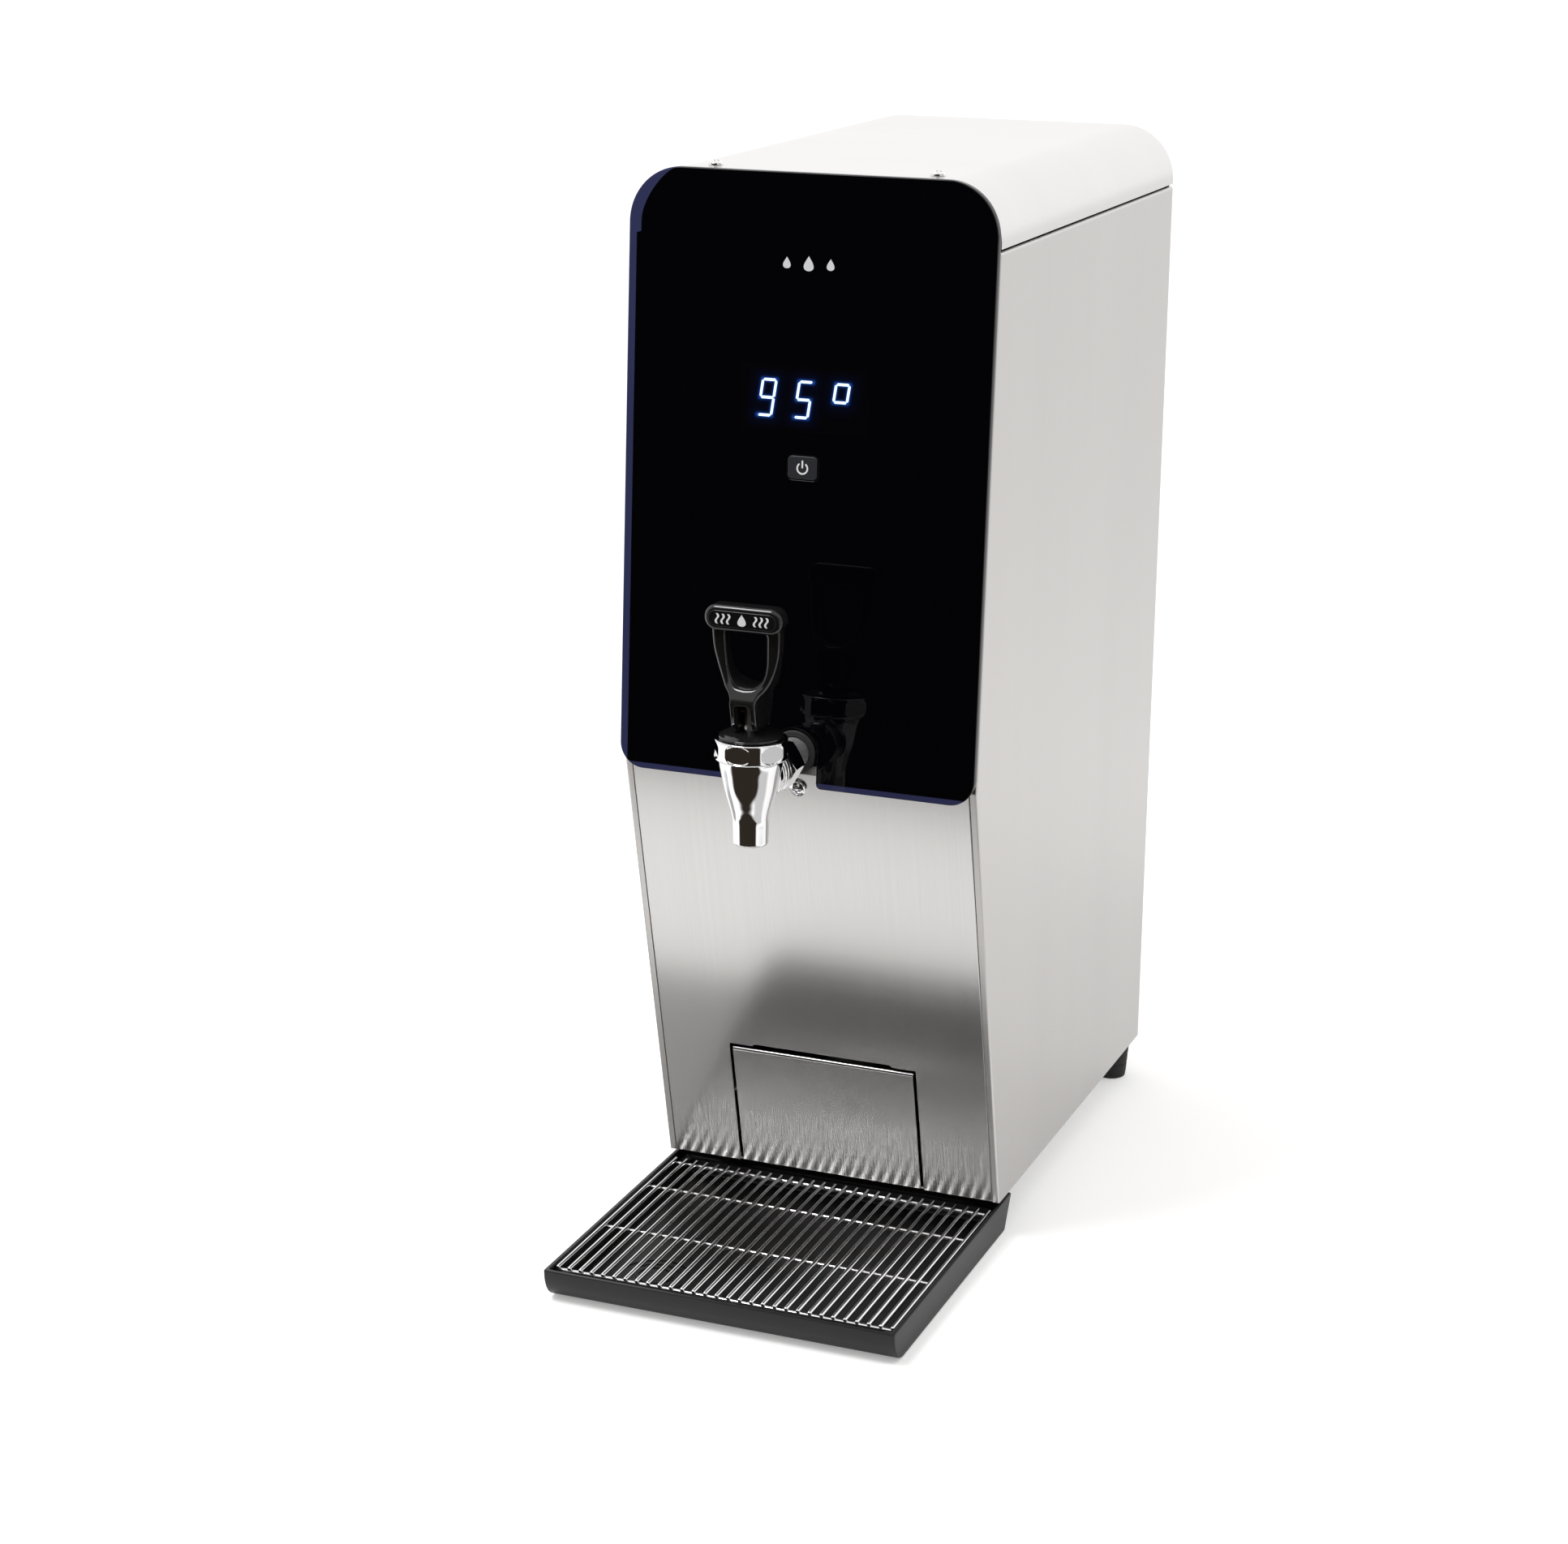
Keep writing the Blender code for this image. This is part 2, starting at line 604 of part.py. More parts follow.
def tap_handle():
    """The loop handle: a fork on the pin, two limbs that open out and a grip bar across the top."""
    waist = 0.0074
    waist_z = 0.3500
    foot = PIN_Z - 0.0087
    bar_half = 0.0220
    bar_low = HANDLE_TOP - 0.0136
    middle = HANDLE_TOP - 0.0068
    right = (
        arc((bar_half - 0.0068, middle), 0.0068, 90, -20, 4)
        + [(0.0194, bar_low), (0.0173, 0.3720), (0.0149, 0.3640), (0.0124, 0.3584)]
        + [(waist, waist_z), (waist, foot)]
    )
    front = right + [(-x, z) for x, z in right[::-1]]
    handle = prism("tap_handle", front, TAP_Y - 0.0250, TAP_Y + 0.0250, along_y, "plastic_black")
    grip_front, grip_back, grip_radius = -0.0126, -0.0006, 0.0026
    grip_top = HANDLE_TOP - grip_radius
    depths = (
        [(-0.0090, foot), (-0.0128, PIN_Z - 0.0045), (-0.0140, PIN_Z), (-0.0140, waist_z)]
        + [(-0.0090, 0.3556), (-0.0070, 0.3640), (-0.0080, bar_low - 0.0010), (grip_front, bar_low)]
        + arc((grip_front + grip_radius, grip_top), grip_radius, 180, 90, 3)
        + arc((grip_back - grip_radius, grip_top), grip_radius, 90, 0, 3)
        + [(0.0002, 0.3800), (0.0018, 0.3720), (0.0092, 0.3600), (0.0124, 0.3556), (0.0140, waist_z)]
        + [(0.0140, PIN_Z), (0.0128, PIN_Z - 0.0045), (0.0090, foot)]
    )
    side = [(TAP_Y + depth, z) for depth, z in depths]
    envelope = prism("handle_side", side, -0.03, 0.03, along_x, "plastic_black")
    boolean(handle, envelope, "INTERSECT")
    loop_right = [(0.0048, 0.3588), (0.0087, 0.3622), (0.0109, 0.3690), (0.0117, 0.3780), (0.0120, bar_low - 0.0006)]
    loop = loop_right + [(-x, z) for x, z in loop_right[::-1]]
    fork_right = [(0.0042, foot - 0.0040), (0.0042, 0.3474), (0.0030, 0.3486)]
    fork = fork_right + [(-x, z) for x, z in fork_right[::-1]]
    hollow_with(
        handle,
        prism("handle_loop", loop, TAP_Y - 0.04, TAP_Y + 0.04, along_y, "steel_dark"),
        prism("handle_fork", fork, TAP_Y - 0.04, TAP_Y + 0.04, along_y, "steel_dark"),
        rod_cutter("handle_pin_hole", PIN_RADIUS + 0.0003, (0, TAP_Y, PIN_Z), 0.02, (1, 0, 0), 8),
    )
    plate_outline = rounded_box(bar_half - 0.0028, middle - 0.0043, middle + 0.0043, 0.0042, 0.0042, 3)
    plate = prism("tap_label_plate", plate_outline, TAP_Y - 0.0134, TAP_Y - 0.0129, along_y, "label_black")
    pivot("tap_handle_pivot", (0, TAP_Y, PIN_Z), handle, plate)


def tap_shank():
    """Threaded shank, the hex coupling nut, the rubber gasket in the slot and the locknut inside."""
    at = (0, FRONT_Y, SHANK_Z)
    back = (0, 1, 0)
    turned("tap_shank", ring_profile(0.0060, SHANK_RADIUS, -0.0375, 0.0450), at, "steel_dark", back, 20, True)
    turned("tap_coupling_nut", ring_profile(0.0108, 0.0140, -0.0365, -0.0225), at, "chrome", back, 6, True)
    turned("tap_gasket", ring_profile(0.0094, 0.0126, -0.0050, -0.0008), at, "rubber_black", back, 16, True)
    turned("tap_locknut", ring_profile(0.0108, 0.0165, 0.0042, 0.0102), at, "brass", back, 6, True)


# ---------------------------------------------------------------- boiler

def boiler():
    """Open tank, gasket, bolted lid, element, sensors and the insulating jacket."""
    low, high = TANK_Z
    wall = 0.0015
    shell = [
        (0, low),
        (TANK_RADIUS, low),
        (TANK_RADIUS, high - wall),
        (TANK_RADIUS + 0.0080, high - wall),
        (TANK_RADIUS + 0.0080, high),
        (TANK_RADIUS - wall, high),
        (TANK_RADIUS - wall, low + wall),
        (0, low + wall),
    ]
    tank = turned("boiler_tank", shell, (0, TANK_Y, 0), "brushed_steel", segments=28)
    outlet = rod_cutter("tank_outlet_hole", 0.0084, (0, TANK_Y - TANK_RADIUS, SHANK_Z), 0.01, (0, 1, 0))
    drain = rod_cutter("tank_drain_hole", 0.0084, (0, TANK_Y, low), 0.01, None)
    hollow_with(tank, outlet, drain)
    rim = TANK_RADIUS + 0.0080
    turned("boiler_gasket", ring_profile(TANK_RADIUS - 0.001, rim, high + 0.0003, high + 0.0021),
           (0, TANK_Y, 0), "silicone", segments=28, ring=True)
    lid_low = high + 0.0024
    lid = turned("boiler_lid", rod_profile(rim, lid_low, lid_low + 0.002), (0, TANK_Y, 0), "brushed_steel",
                 segments=28)
    for name, (x, y), radius in (
        ("lid_element_left", (-0.015, 0.030), 0.0048),
        ("lid_element_right", (0.015, 0.030), 0.0048),
        ("lid_sensor", (0.030, -0.020), 0.0036),
        ("lid_level", (-0.030, -0.020), 0.0036),
        ("lid_overflow", (-0.050, 0.025), 0.0072),
        ("lid_inlet", (0.050, 0.025), 0.0055),
    ):
        hollow_with(lid, rod_cutter(name + "_hole", radius, (x, TANK_Y + y, lid_low), 0.01, None, 10))
    top = lid_low + 0.020
    loop = arc((0, TANK_Y - 0.005), 0.045, 110, 430, 16)
    path = [(-0.015, TANK_Y + 0.030, top), (-0.015, TANK_Y + 0.030, 0.290)]
    path += [(x, y, 0.276) for x, y in loop]
    path += [(0.015, TANK_Y + 0.030, 0.290), (0.015, TANK_Y + 0.030, top)]
    tube("heating_element", path, 0.0040, "steel_dark", 1)
    probe = [
        (0, -0.110),
        (0.0030, -0.110),
        (0.0030, 0.0023),
        (0.0075, 0.0023),
        (0.0075, 0.0090),
        (0, 0.0090),
    ]
    turned("temperature_sensor", probe, (0.030, TANK_Y - 0.020, lid_low), "steel_dark", segments=10)
    turned("level_probe", probe, (-0.030, TANK_Y - 0.020, lid_low), "steel_dark", segments=10)
    cutout = [(0, 0.0003), (0.0110, 0.0003), (0.0110, 0.0060), (0.0050, 0.0085), (0, 0.0085)]
    turned("thermal_cutout", cutout, (0, TANK_Y - 0.055, lid_low + 0.002), "plastic_black", segments=14)
    inner = TANK_RADIUS + 0.0010
    outer = TANK_RADIUS + 0.0140
    start = -90 + 9
    end = 270 - 9
    jacket = arc((0, TANK_Y), outer, start, end, 28) + arc((0, TANK_Y), inner, end, start, 28)
    prism("tank_insulation", jacket, low + 0.0010, high - 0.0040, along_z, "insulation")


def plumbing():
    """Inlet fitting and valve, and the pipes between them, the tank, the tap and the drain."""
    back = (0, 1, 0)
    fitting = [
        (0.0070, -0.0350),
        (0.0105, -0.0350),
        (0.0105, -0.0120),
        (0.0132, -0.0100),
        (0.0132, 0.0170),
        (0.0070, 0.0170),
    ]
    turned("water_inlet_fitting", fitting, INLET, "brass", back, 20, True)
    valve_y = BACK_Y - 0.0360
    valve = prism("inlet_valve", box_outline(-0.0150, 0.0150, -0.0120, 0.0120), 0, 0.0450, along_z, "valve_white")
    valve.location = (INLET[0], valve_y - 0.0452, INLET[2])
    valve.rotation_euler = (math.radians(-90), 0, 0)
    turned("valve_coil", rod_profile(0.0140, 0, 0.0300), (INLET[0], valve_y - 0.0230, INLET[2] + 0.0124),
           "plastic_black", segments=16)
    start = (INLET[0], valve_y - 0.0456, INLET[2])
    over = TANK_Z[1] + 0.040
    riser_y = TANK_Y + 0.0980
    ahead_y = FRONT_Y + 0.2520
    inlet_run = rounded_path(
        [start, (INLET[0], ahead_y, INLET[2]), (0.080, ahead_y, INLET[2]), (0.080, riser_y, 0.1300),
         (0.080, riser_y, over), (0.050, TANK_Y + 0.025, over), (0.050, TANK_Y + 0.025, 0.500)],
        0.012)
    tube("inlet_pipe", inlet_run, 0.0045, "silicone", 1)
    overflow_run = rounded_path(
        [(-0.050, TANK_Y + 0.025, 0.4950), (-0.050, TANK_Y + 0.025, over), (*OVERFLOW_XY, over),
         (*OVERFLOW_XY, 0.0140)],
        0.014)
    tube("overflow_pipe", overflow_run, 0.0065, "silicone", 1)
    turned("outlet_hose", ring_profile(0.0060, 0.0078, 0.0455, 0.1120), (0, FRONT_Y, SHANK_Z), "silicone",
           back, 14, True)
    drain_run = rounded_path(
        [(0, TANK_Y, 0.2570), (0, TANK_Y, 0.1200), (0, FRONT_Y + 0.0760, 0.0750)], 0.030)
    tube("drain_hose", drain_run, 0.0075, "silicone", 1)
    end = Vector(drain_run[-1])
    heading = (end - Vector(drain_run[-2])).normalized()
    plug = [(0, 0.0004), (0.0100, 0.0004), (0.0100, 0.0110), (0.0070, 0.0150), (0, 0.0150)]
    turned("drain_plug", plug, end, "plastic_black", heading, 14)


def electrics():
    """Power board on the left wall, the loom to the display board and the mains gland."""
    wall = -(HALF - SHEET - 0.0060)
    board = box_outline(TANK_Y + 0.0820, TANK_Y + 0.1430, 0.1500, 0.2150)
    prism("power_board", board, wall, wall + 0.0016, along_x, "board_green")
    relay = box_outline(TANK_Y + 0.0900, TANK_Y + 0.1200, 0.1600, 0.1850)
    prism("power_relay", relay, wall + 0.0020, wall + 0.0180, along_x, "plastic_black")
    behind = 0.0112
    run = rounded_path(
        [(wall + 0.0060, TANK_Y + 0.1250, 0.2154), (wall + 0.0060, TANK_Y + 0.1250, 0.5600),
         (-0.0800, upper_front(0.5600) + 0.030, 0.5600), (-0.0300, upper_front(0.5200) + 0.022, 0.5200),
         (-0.0300, upper_front(0.5200) + behind, 0.5200)],
        0.008, 3)
    tube("wiring_loom", run, 0.0020, "plastic_black", 0)
    gland = [
        (0.0040, -0.0120),
        (0.0080, -0.0120),
        (0.0080, -0.0012),
        (0.0120, -0.0012),
        (0.0120, 0.0040),
        (0.0095, 0.0140),
        (0.0060, 0.0160),
        (0.0040, 0.0160),
    ]
    turned("mains_gland", gland, GLAND, "plastic_black", (0, 1, 0), 16, True)


# ---------------------------------------------------------------- feet and tray


def foot_places():
    rows = (("front", FOOT_X[0], FRONT_Y + FOOT_DEPTH[0]), ("rear", FOOT_X[1], FRONT_Y + FOOT_DEPTH[1]))
    sides = ((-1, "left"), (1, "right"))
    return {f"foot_{row}_{word}": (side * x, y) for row, x, y in rows for side, word in sides}


def feet():
    top = UNDERSIDE - 0.0003
    profile = [
        (0, 0),
        (0.0090, 0),
        (0.0098, 0.0012),
        (0.0115, top - 0.0010),
        (0.0112, top),
        (0.0030, top),
        (0.0030, top + 0.0090),
        (0, top + 0.0090),
    ]
    mesh = turned_mesh("foot", profile, 18)
    mesh.materials.append(bpy.data.materials["rubber_black"])
    for name, (x, y) in foot_places().items():
        obj = bpy.data.objects.new(name, mesh)
        obj.location = (x, y, 0)
        bpy.context.scene.collection.objects.link(obj)


def drip_tray():
    """A moulded tray with a rounded front, a well and a ledge along each side for the grille."""
    front = FRONT_Y - TRAY_REACH
    rear = FRONT_Y + TRAY_REAR
    nose = [(front, TRAY_TOP)]
    steps = 6
    for i in range(steps + 1):
        t = math.pi / 2 * i / steps
        nose.append((front + 0.0140 * (1 - math.cos(t)), TRAY_TOP - 0.0010 - 0.0180 * math.sin(t)))
    outline = nose + [(rear - 0.0110, TRAY_BOTTOM), (rear, TRAY_TOP)]
    tray = prism("drip_tray", outline, -TRAY_HALF, TRAY_HALF, along_x, "tray_black")
    well = box_cutter("tray_well", (-0.0960, 0.0960), (front + 0.0070, rear - 0.0140), (0.0042, 0.05))
    seat = box_cutter("tray_seat", (-0.1020, 0.1020), (front + 0.0026, rear - 0.0030), (0.0136, 0.05))
    hollow_with(tray, well, seat)
    pivot("drip_tray_slide", (0, front, TRAY_BOTTOM), tray)


def drip_grille():
    """Round bars from front to back, welded on four cross wires."""
    wire_sides = 6

    def bar_outline(centre, radius):
        return [
            (centre[0] + radius * math.cos(a), centre[1] + radius * math.sin(a))
            for a in [2 * math.pi * (i + 0.5) / wire_sides for i in range(wire_sides)]
        ]

    pitch = 2 * GRILLE_HALF / (GRILLE_WIRES - 1)
    bm = bmesh.new()
    for i in range(GRILLE_WIRES):
        bar = bar_outline((-GRILLE_HALF + i * pitch, GRILLE_Z), WIRE_RADIUS)
        add_prism(bm, bar, FRONT_Y + GRILLE_FRONT, FRONT_Y + GRILLE_REAR, along_y)
    bars = place("drip_grille", mesh_from(bm, "drip_grille"), "chrome")
    bm = bmesh.new()
    cross_z = GRILLE_Z - 1.6 * WIRE_RADIUS
    reach = GRILLE_HALF + 0.0008
    for y in CROSS_WIRES:
        add_prism(bm, bar_outline((FRONT_Y + y, cross_z), WIRE_RADIUS), -reach, reach, along_x)
    cross = place("grille_cross_wires", mesh_from(bm, "grille_cross_wires"), "chrome")
    boolean(bars, cross, "UNION")
    pivot("drip_grille_lift", (0, FRONT_Y + GRILLE_REAR, GRILLE_Z), bars)


def main():
    clear_scene()
    make_materials()
    side_panel("left_side_panel", -1)
    side_panel("right_side_panel", 1)
    top_cover()
    rear_panel()
    base_plate()
    tank_shelf()
    front_chassis_plate()
    front_fascia()
    lower_front_panel()
    access_panel()
    display_and_button()
    tap_body()
    tap_stem()
    tap_handle()
    tap_shank()
    boiler()
    plumbing()
    electrics()
    feet()
    drip_tray()
    drip_grille()


main()
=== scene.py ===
"""Looks of a countertop hot water dispenser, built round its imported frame. Metres, +Z up."""

import json
import math

import bmesh
import bpy
import numpy as np
from bpy.props import FloatProperty, FloatVectorProperty, IntProperty, PointerProperty
from mathutils import Matrix, Vector
from mathutils.geometry import tessellate_polygon


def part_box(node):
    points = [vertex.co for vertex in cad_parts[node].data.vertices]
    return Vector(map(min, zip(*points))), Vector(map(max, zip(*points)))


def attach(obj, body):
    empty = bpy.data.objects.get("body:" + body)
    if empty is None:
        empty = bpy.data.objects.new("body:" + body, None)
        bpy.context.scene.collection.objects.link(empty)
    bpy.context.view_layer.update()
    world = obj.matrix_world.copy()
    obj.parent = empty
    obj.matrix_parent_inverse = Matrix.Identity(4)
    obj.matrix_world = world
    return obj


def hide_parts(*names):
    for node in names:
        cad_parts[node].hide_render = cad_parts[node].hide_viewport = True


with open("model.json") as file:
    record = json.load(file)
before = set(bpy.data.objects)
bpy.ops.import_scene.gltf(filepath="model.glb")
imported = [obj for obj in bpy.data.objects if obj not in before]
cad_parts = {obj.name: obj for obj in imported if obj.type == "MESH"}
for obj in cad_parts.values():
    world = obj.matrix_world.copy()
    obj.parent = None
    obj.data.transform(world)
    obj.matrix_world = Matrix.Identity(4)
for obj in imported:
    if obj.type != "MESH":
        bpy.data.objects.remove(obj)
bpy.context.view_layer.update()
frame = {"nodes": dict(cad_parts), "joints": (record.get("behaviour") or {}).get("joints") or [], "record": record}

bl_info = {
    "name": "Countertop water dispenser looks",
    "version": (1, 0, 0),
    "blender": (4, 5, 0),
    "location": "3D View > Sidebar > Dispenser",
    "description": "Builds the visible shells, tap, tray, finishes and studio of a water dispenser",
    "category": "Object",
}

# ---------------------------------------------------------------- places read from the frame


def low(node, axis):
    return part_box(node)[0][axis]


def high(node, axis):
    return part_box(node)[1][axis]


JOINTS = {joint["name"]: joint for joint in frame["joints"]}
TAP_Y = JOINTS["tap_lever"]["pos_m"][1]
HALF = high("right_side_panel", 0)
FLANGE = HALF - low("right_side_panel", 0)
FRONT_Y = low("lower_front_panel", 1)
BACK_Y = high("right_side_panel", 1)
UNDERSIDE = low("right_side_panel", 2)
SIDE_TOP = high("right_side_panel", 2)
LID_LOW = low("top_cover", 2)
LID_TOP = high("top_cover", 2)
TRAY_HALF = high("drip_tray", 0)
TRAY_FRONT = low("drip_tray", 1)
TRAY_REAR = high("drip_tray", 1)
TRAY_TOP = high("drip_tray", 2)
TRAY_LOW = low("drip_tray", 2)
SHANK_Z = (low("tap_shank", 2) + high("tap_shank", 2)) / 2
SPOUT_Z = low("tap_body", 2)

# Sheet metal: thickness, gap between sheets, and the two slopes that meet at the bend
SHEET = 0.0012
GAP = 0.0004
BEND_Z = 0.2905
LEAN = 0.064
RECESS = 0.2273
LID_RADIUS = 0.0324

# Depths of the glass's two faces from the upper front's plane, and the radii of its corners
GLASS_FRONT = -0.0060
GLASS_BACK = -0.0003
GLASS_CORNER = 0.0300
GLASS_FOOT_CORNER = 0.0140

# The hatch in the lower front
HATCH_HALF = 0.0583
HATCH_TOP = 0.1060
HATCH_GAP = 0.0020

# The two strips that run back from the lower front, over the base
RAIL_X = (0.0600, 0.0740)
RAIL_LENGTH = 0.1900

# Places of the grille's cross wires along y, from FRONT_Y
GRILLE_CROSS = (-0.1050, -0.0430, 0.0180, 0.0560)

UP = np.array([0.0, 0.0, 1.0])
AHEAD = np.array([0.0, -1.0, 0.0])
BACK = np.array([0.0, 1.0, 0.0])
RIGHT = np.array([1.0, 0.0, 0.0])


def upper_front(z):
    """Depth of the leaning upper front at a height."""
    return FRONT_Y + LEAN * (z - BEND_Z)


def lower_front(z):
    """Depth of the receding lower front at a height."""
    return FRONT_Y + RECESS * (BEND_Z - z)


def on_upper(u, v, d):
    return np.stack([u, upper_front(v) + d, v], -1)


def on_lower(u, v, d):
    return np.stack([u, lower_front(v) + d, v], -1)


def upright(u, v, d):
    return np.stack([u, d + 0 * u, v], -1)


# ---------------------------------------------------------------- outlines and surfaces


def arc(centre, radius, start, end, steps):
    """Points on a circle from start to end, in degrees, both ends included."""
    turn = np.radians(np.linspace(start, end, steps + 1))
    return np.stack([centre[0] + radius * np.cos(turn), centre[1] + radius * np.sin(turn)], -1)


def joined(*runs):
    """One outline from runs of points."""
    return np.concatenate([np.reshape(np.asarray(run, float), (-1, 2)) for run in runs])


def rounded_box(half, bottom, top, bottom_radius, top_radius, steps=8):
    """Anticlockwise rectangle from -half to half, with a lower and an upper corner radius."""
    return joined(
        arc((-half + bottom_radius, bottom + bottom_radius), bottom_radius, 180, 270, steps),
        arc((half - bottom_radius, bottom + bottom_radius), bottom_radius, 270, 360, steps),
        arc((half - top_radius, top - top_radius), top_radius, 0, 90, steps),
        arc((-half + top_radius, top - top_radius), top_radius, 90, 180, steps),
    )


def mirrored(outline):
    """The outline on the other side of x = 0, in the opposite order."""
    return (outline * [-1, 1])[::-1]


def smooth_run(points, steps=8):
    """A curve through the points: each span weights its four nearest points by the Catmull-Rom cubics."""
    points = np.asarray(points, float)
    padded = np.concatenate([2 * points[:1] - points[1:2], points, 2 * points[-1:] - points[-2:-1]])
    t = np.linspace(0, 1, steps, endpoint=False)[None, :, None]
    a, b, c, d = (padded[k : len(padded) - 3 + k, None, :] for k in range(4))
    spans = 0.5 * (2 * b + (c - a) * t + (2 * a - 5 * b + 4 * c - d) * t**2 + (3 * b - a - 3 * c + d) * t**3)
    return np.concatenate([spans.reshape(-1, points.shape[1]), points[-1:]])


def moved_in(outline, distance):
    """A closed outline moved to its left: each point goes along the sum of its two edges' unit normals,
    divided by one plus their dot product, so that both edges move by the same distance."""
    before = outline - np.roll(outline, 1, 0)
    after = np.roll(outline, -1, 0) - outline
    first = np.stack([-before[:, 1], before[:, 0]], -1) / np.linalg.norm(before, axis=1, keepdims=True)
    second = np.stack([-after[:, 1], after[:, 0]], -1) / np.linalg.norm(after, axis=1, keepdims=True)
    both = (first + second) / (1 + (first * second).sum(1, keepdims=True))
    return outline + both * np.reshape(distance, (-1, 1))


def eased_layers(start, end, radius, steps=4, flat=0.0003):
    """(inset, depth) pairs from start to end: a quarter circle and a narrow flat margin at each edge."""
    turn = np.linspace(0, math.pi / 2, steps + 1)
    sign = math.copysign(1, end - start)
    inset = radius * (1 - np.sin(turn))
    depth = radius * (1 - np.cos(turn))
    near = np.stack([inset, start + sign * depth], -1)
    far = np.stack([inset, end - sign * depth], -1)[::-1]
    return joined([(radius + flat, start)], near, far, [(radius + flat, end)])


class Shape:
    """Points and faces gathered for one piece."""

    def __init__(self):
        self.points = []
        self.faces = []
        self.count = 0

    def add(self, points, faces):
        points = np.reshape(points, (-1, 3))
        self.points.append(points)
        self.faces += (np.asarray(faces) + self.count).tolist()
        self.count += len(points)

    def grid(self, points, wrap_rows=False, caps=True):
        """Quads between the neighbours of a (rows, columns) grid whose columns close on themselves;
        the first and last row are filled unless the rows wrap too or caps is off."""
        rows, columns = points.shape[:2]
        i, j = np.meshgrid(np.arange(rows if wrap_rows else rows - 1), np.arange(columns), indexing="ij")
        i_next = (i + 1) % rows * columns
        j_next = (j + 1) % columns
        quads = np.stack([i * columns + j, i * columns + j_next, i_next + j_next, i_next + j], -1)
        start = self.count
        self.add(points, quads.reshape(-1, 4))
        if caps and not wrap_rows:
            self.faces.append(list(range(start, start + columns)))
            self.faces.append(list(range(start + (rows - 1) * columns, start + rows * columns)))

    def slab(self, outline, layers, place, holes=(), soften=None):
        """A flat piece: an anticlockwise outline and its clockwise holes, carried through layers, which
        are (inset, depth) pairs. place turns (u, v, depth) into points, and soften scales the insets."""
        rings = []
        starts = []
        for ring in (outline, *holes):
            share = 1 if soften is None else soften(ring)
            flat = np.stack([moved_in(ring, inset * share) for inset, _ in layers])
            depth = np.broadcast_to(layers[:, 1][:, None], flat.shape[:2])
            starts.append(self.count)
            self.grid(place(flat[..., 0], flat[..., 1], depth), caps=False)
            rings.append(flat)
        sizes = [ring.shape[1] for ring in rings]
        for layer in (0, len(layers) - 1):
            corners = tessellate_polygon([[(u, v, 0) for u, v in ring[layer]] for ring in rings])
            index = np.concatenate([s + layer * n + np.arange(n) for s, n in zip(starts, sizes)])
            self.faces += index[np.array(corners)].tolist()

    def turned(self, profile, centre, axis=UP, sides=64, ring=False, reshape=None):
        """A profile of (radius, height) pairs turned about an axis through the centre:
        centre + radius (cos a, sin a) in the plane across the axis + height along it.
        reshape may change the radius, from the angle and the height."""
        profile = np.asarray(profile, float)
        radius, height = profile[:, 0][:, None], profile[:, 1][:, None]
        angle = (2 * math.pi * np.arange(sides) / sides)[None, :]
        radius = np.broadcast_to(radius, (len(profile), sides))
        if reshape is not None:
            radius = reshape(angle, height, radius)
        first, second = across(axis)
        points = (
            np.asarray(centre, float)
            + (radius * np.cos(angle))[..., None] * first
            + (radius * np.sin(angle))[..., None] * second
            + (height + 0 * angle)[..., None] * axis
        )
        self.grid(points, wrap_rows=ring, caps=False)


def across(axis):
    """Two unit vectors across an axis: the first leans towards AHEAD, or UP if AHEAD is along the axis."""
    guide = AHEAD if abs(axis @ AHEAD) < 0.8 else UP
    first = guide - (guide @ axis) * axis
    first = first / np.linalg.norm(first)
    return first, np.cross(axis, first)


def piece(name, shape, finish, body="cabinet", stands_for=(), crease=35):
    """Makes the piece's object: seams and poles merged, faces outwards, smooth up to the crease angle."""
    mesh = bpy.data.meshes.new(name)
    mesh.from_pydata(np.concatenate(shape.points).tolist(), [], shape.faces)
    bm = bmesh.new()
    bm.from_mesh(mesh)
    bmesh.ops.remove_doubles(bm, verts=bm.verts[:], dist=1e-7)
    bmesh.ops.recalc_face_normals(bm, faces=bm.faces[:])
    bm.to_mesh(mesh)
    bm.free()
    mesh.shade_smooth()
    mesh.set_sharp_from_angle(angle=math.radians(crease))
    mesh.materials.append(finish)
    obj = bpy.data.objects.new(name, mesh)
    bpy.context.scene.collection.objects.link(obj)
    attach(obj, body)
    if stands_for:
        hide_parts(*stands_for)
    return obj


# ---------------------------------------------------------------- finishes


class Field:
    """A value that changes over a surface: one output socket, with arithmetic written as expressions."""

    def __init__(self, tree, socket):
        self.tree = tree
        self.socket = socket

    def math(self, operation, *values):
        return self.tree.node("ShaderNodeMath", {"operation": operation}, dict(enumerate(values)))

    def __add__(self, other):
        return self.math("ADD", self, other)

    def __radd__(self, other):
        return self.math("ADD", other, self)

    def __sub__(self, other):
        return self.math("SUBTRACT", self, other)

    def __rsub__(self, other):
        return self.math("SUBTRACT", other, self)

    def __mul__(self, other):
        return self.math("MULTIPLY", self, other)

    def __pow__(self, other):
        return self.math("POWER", self, other)

    def absolute(self):
        return self.math("ABSOLUTE", self)

    def at_least(self, other):
        return self.math("MAXIMUM", self, other)

    def step(self, start, end):
        """0 before start, 1 after end, eased between them."""
        inputs = {"Value": self, "From Min": start, "From Max": end}
        return self.tree.node("ShaderNodeMapRange", {"interpolation_type": "SMOOTHSTEP"}, inputs)


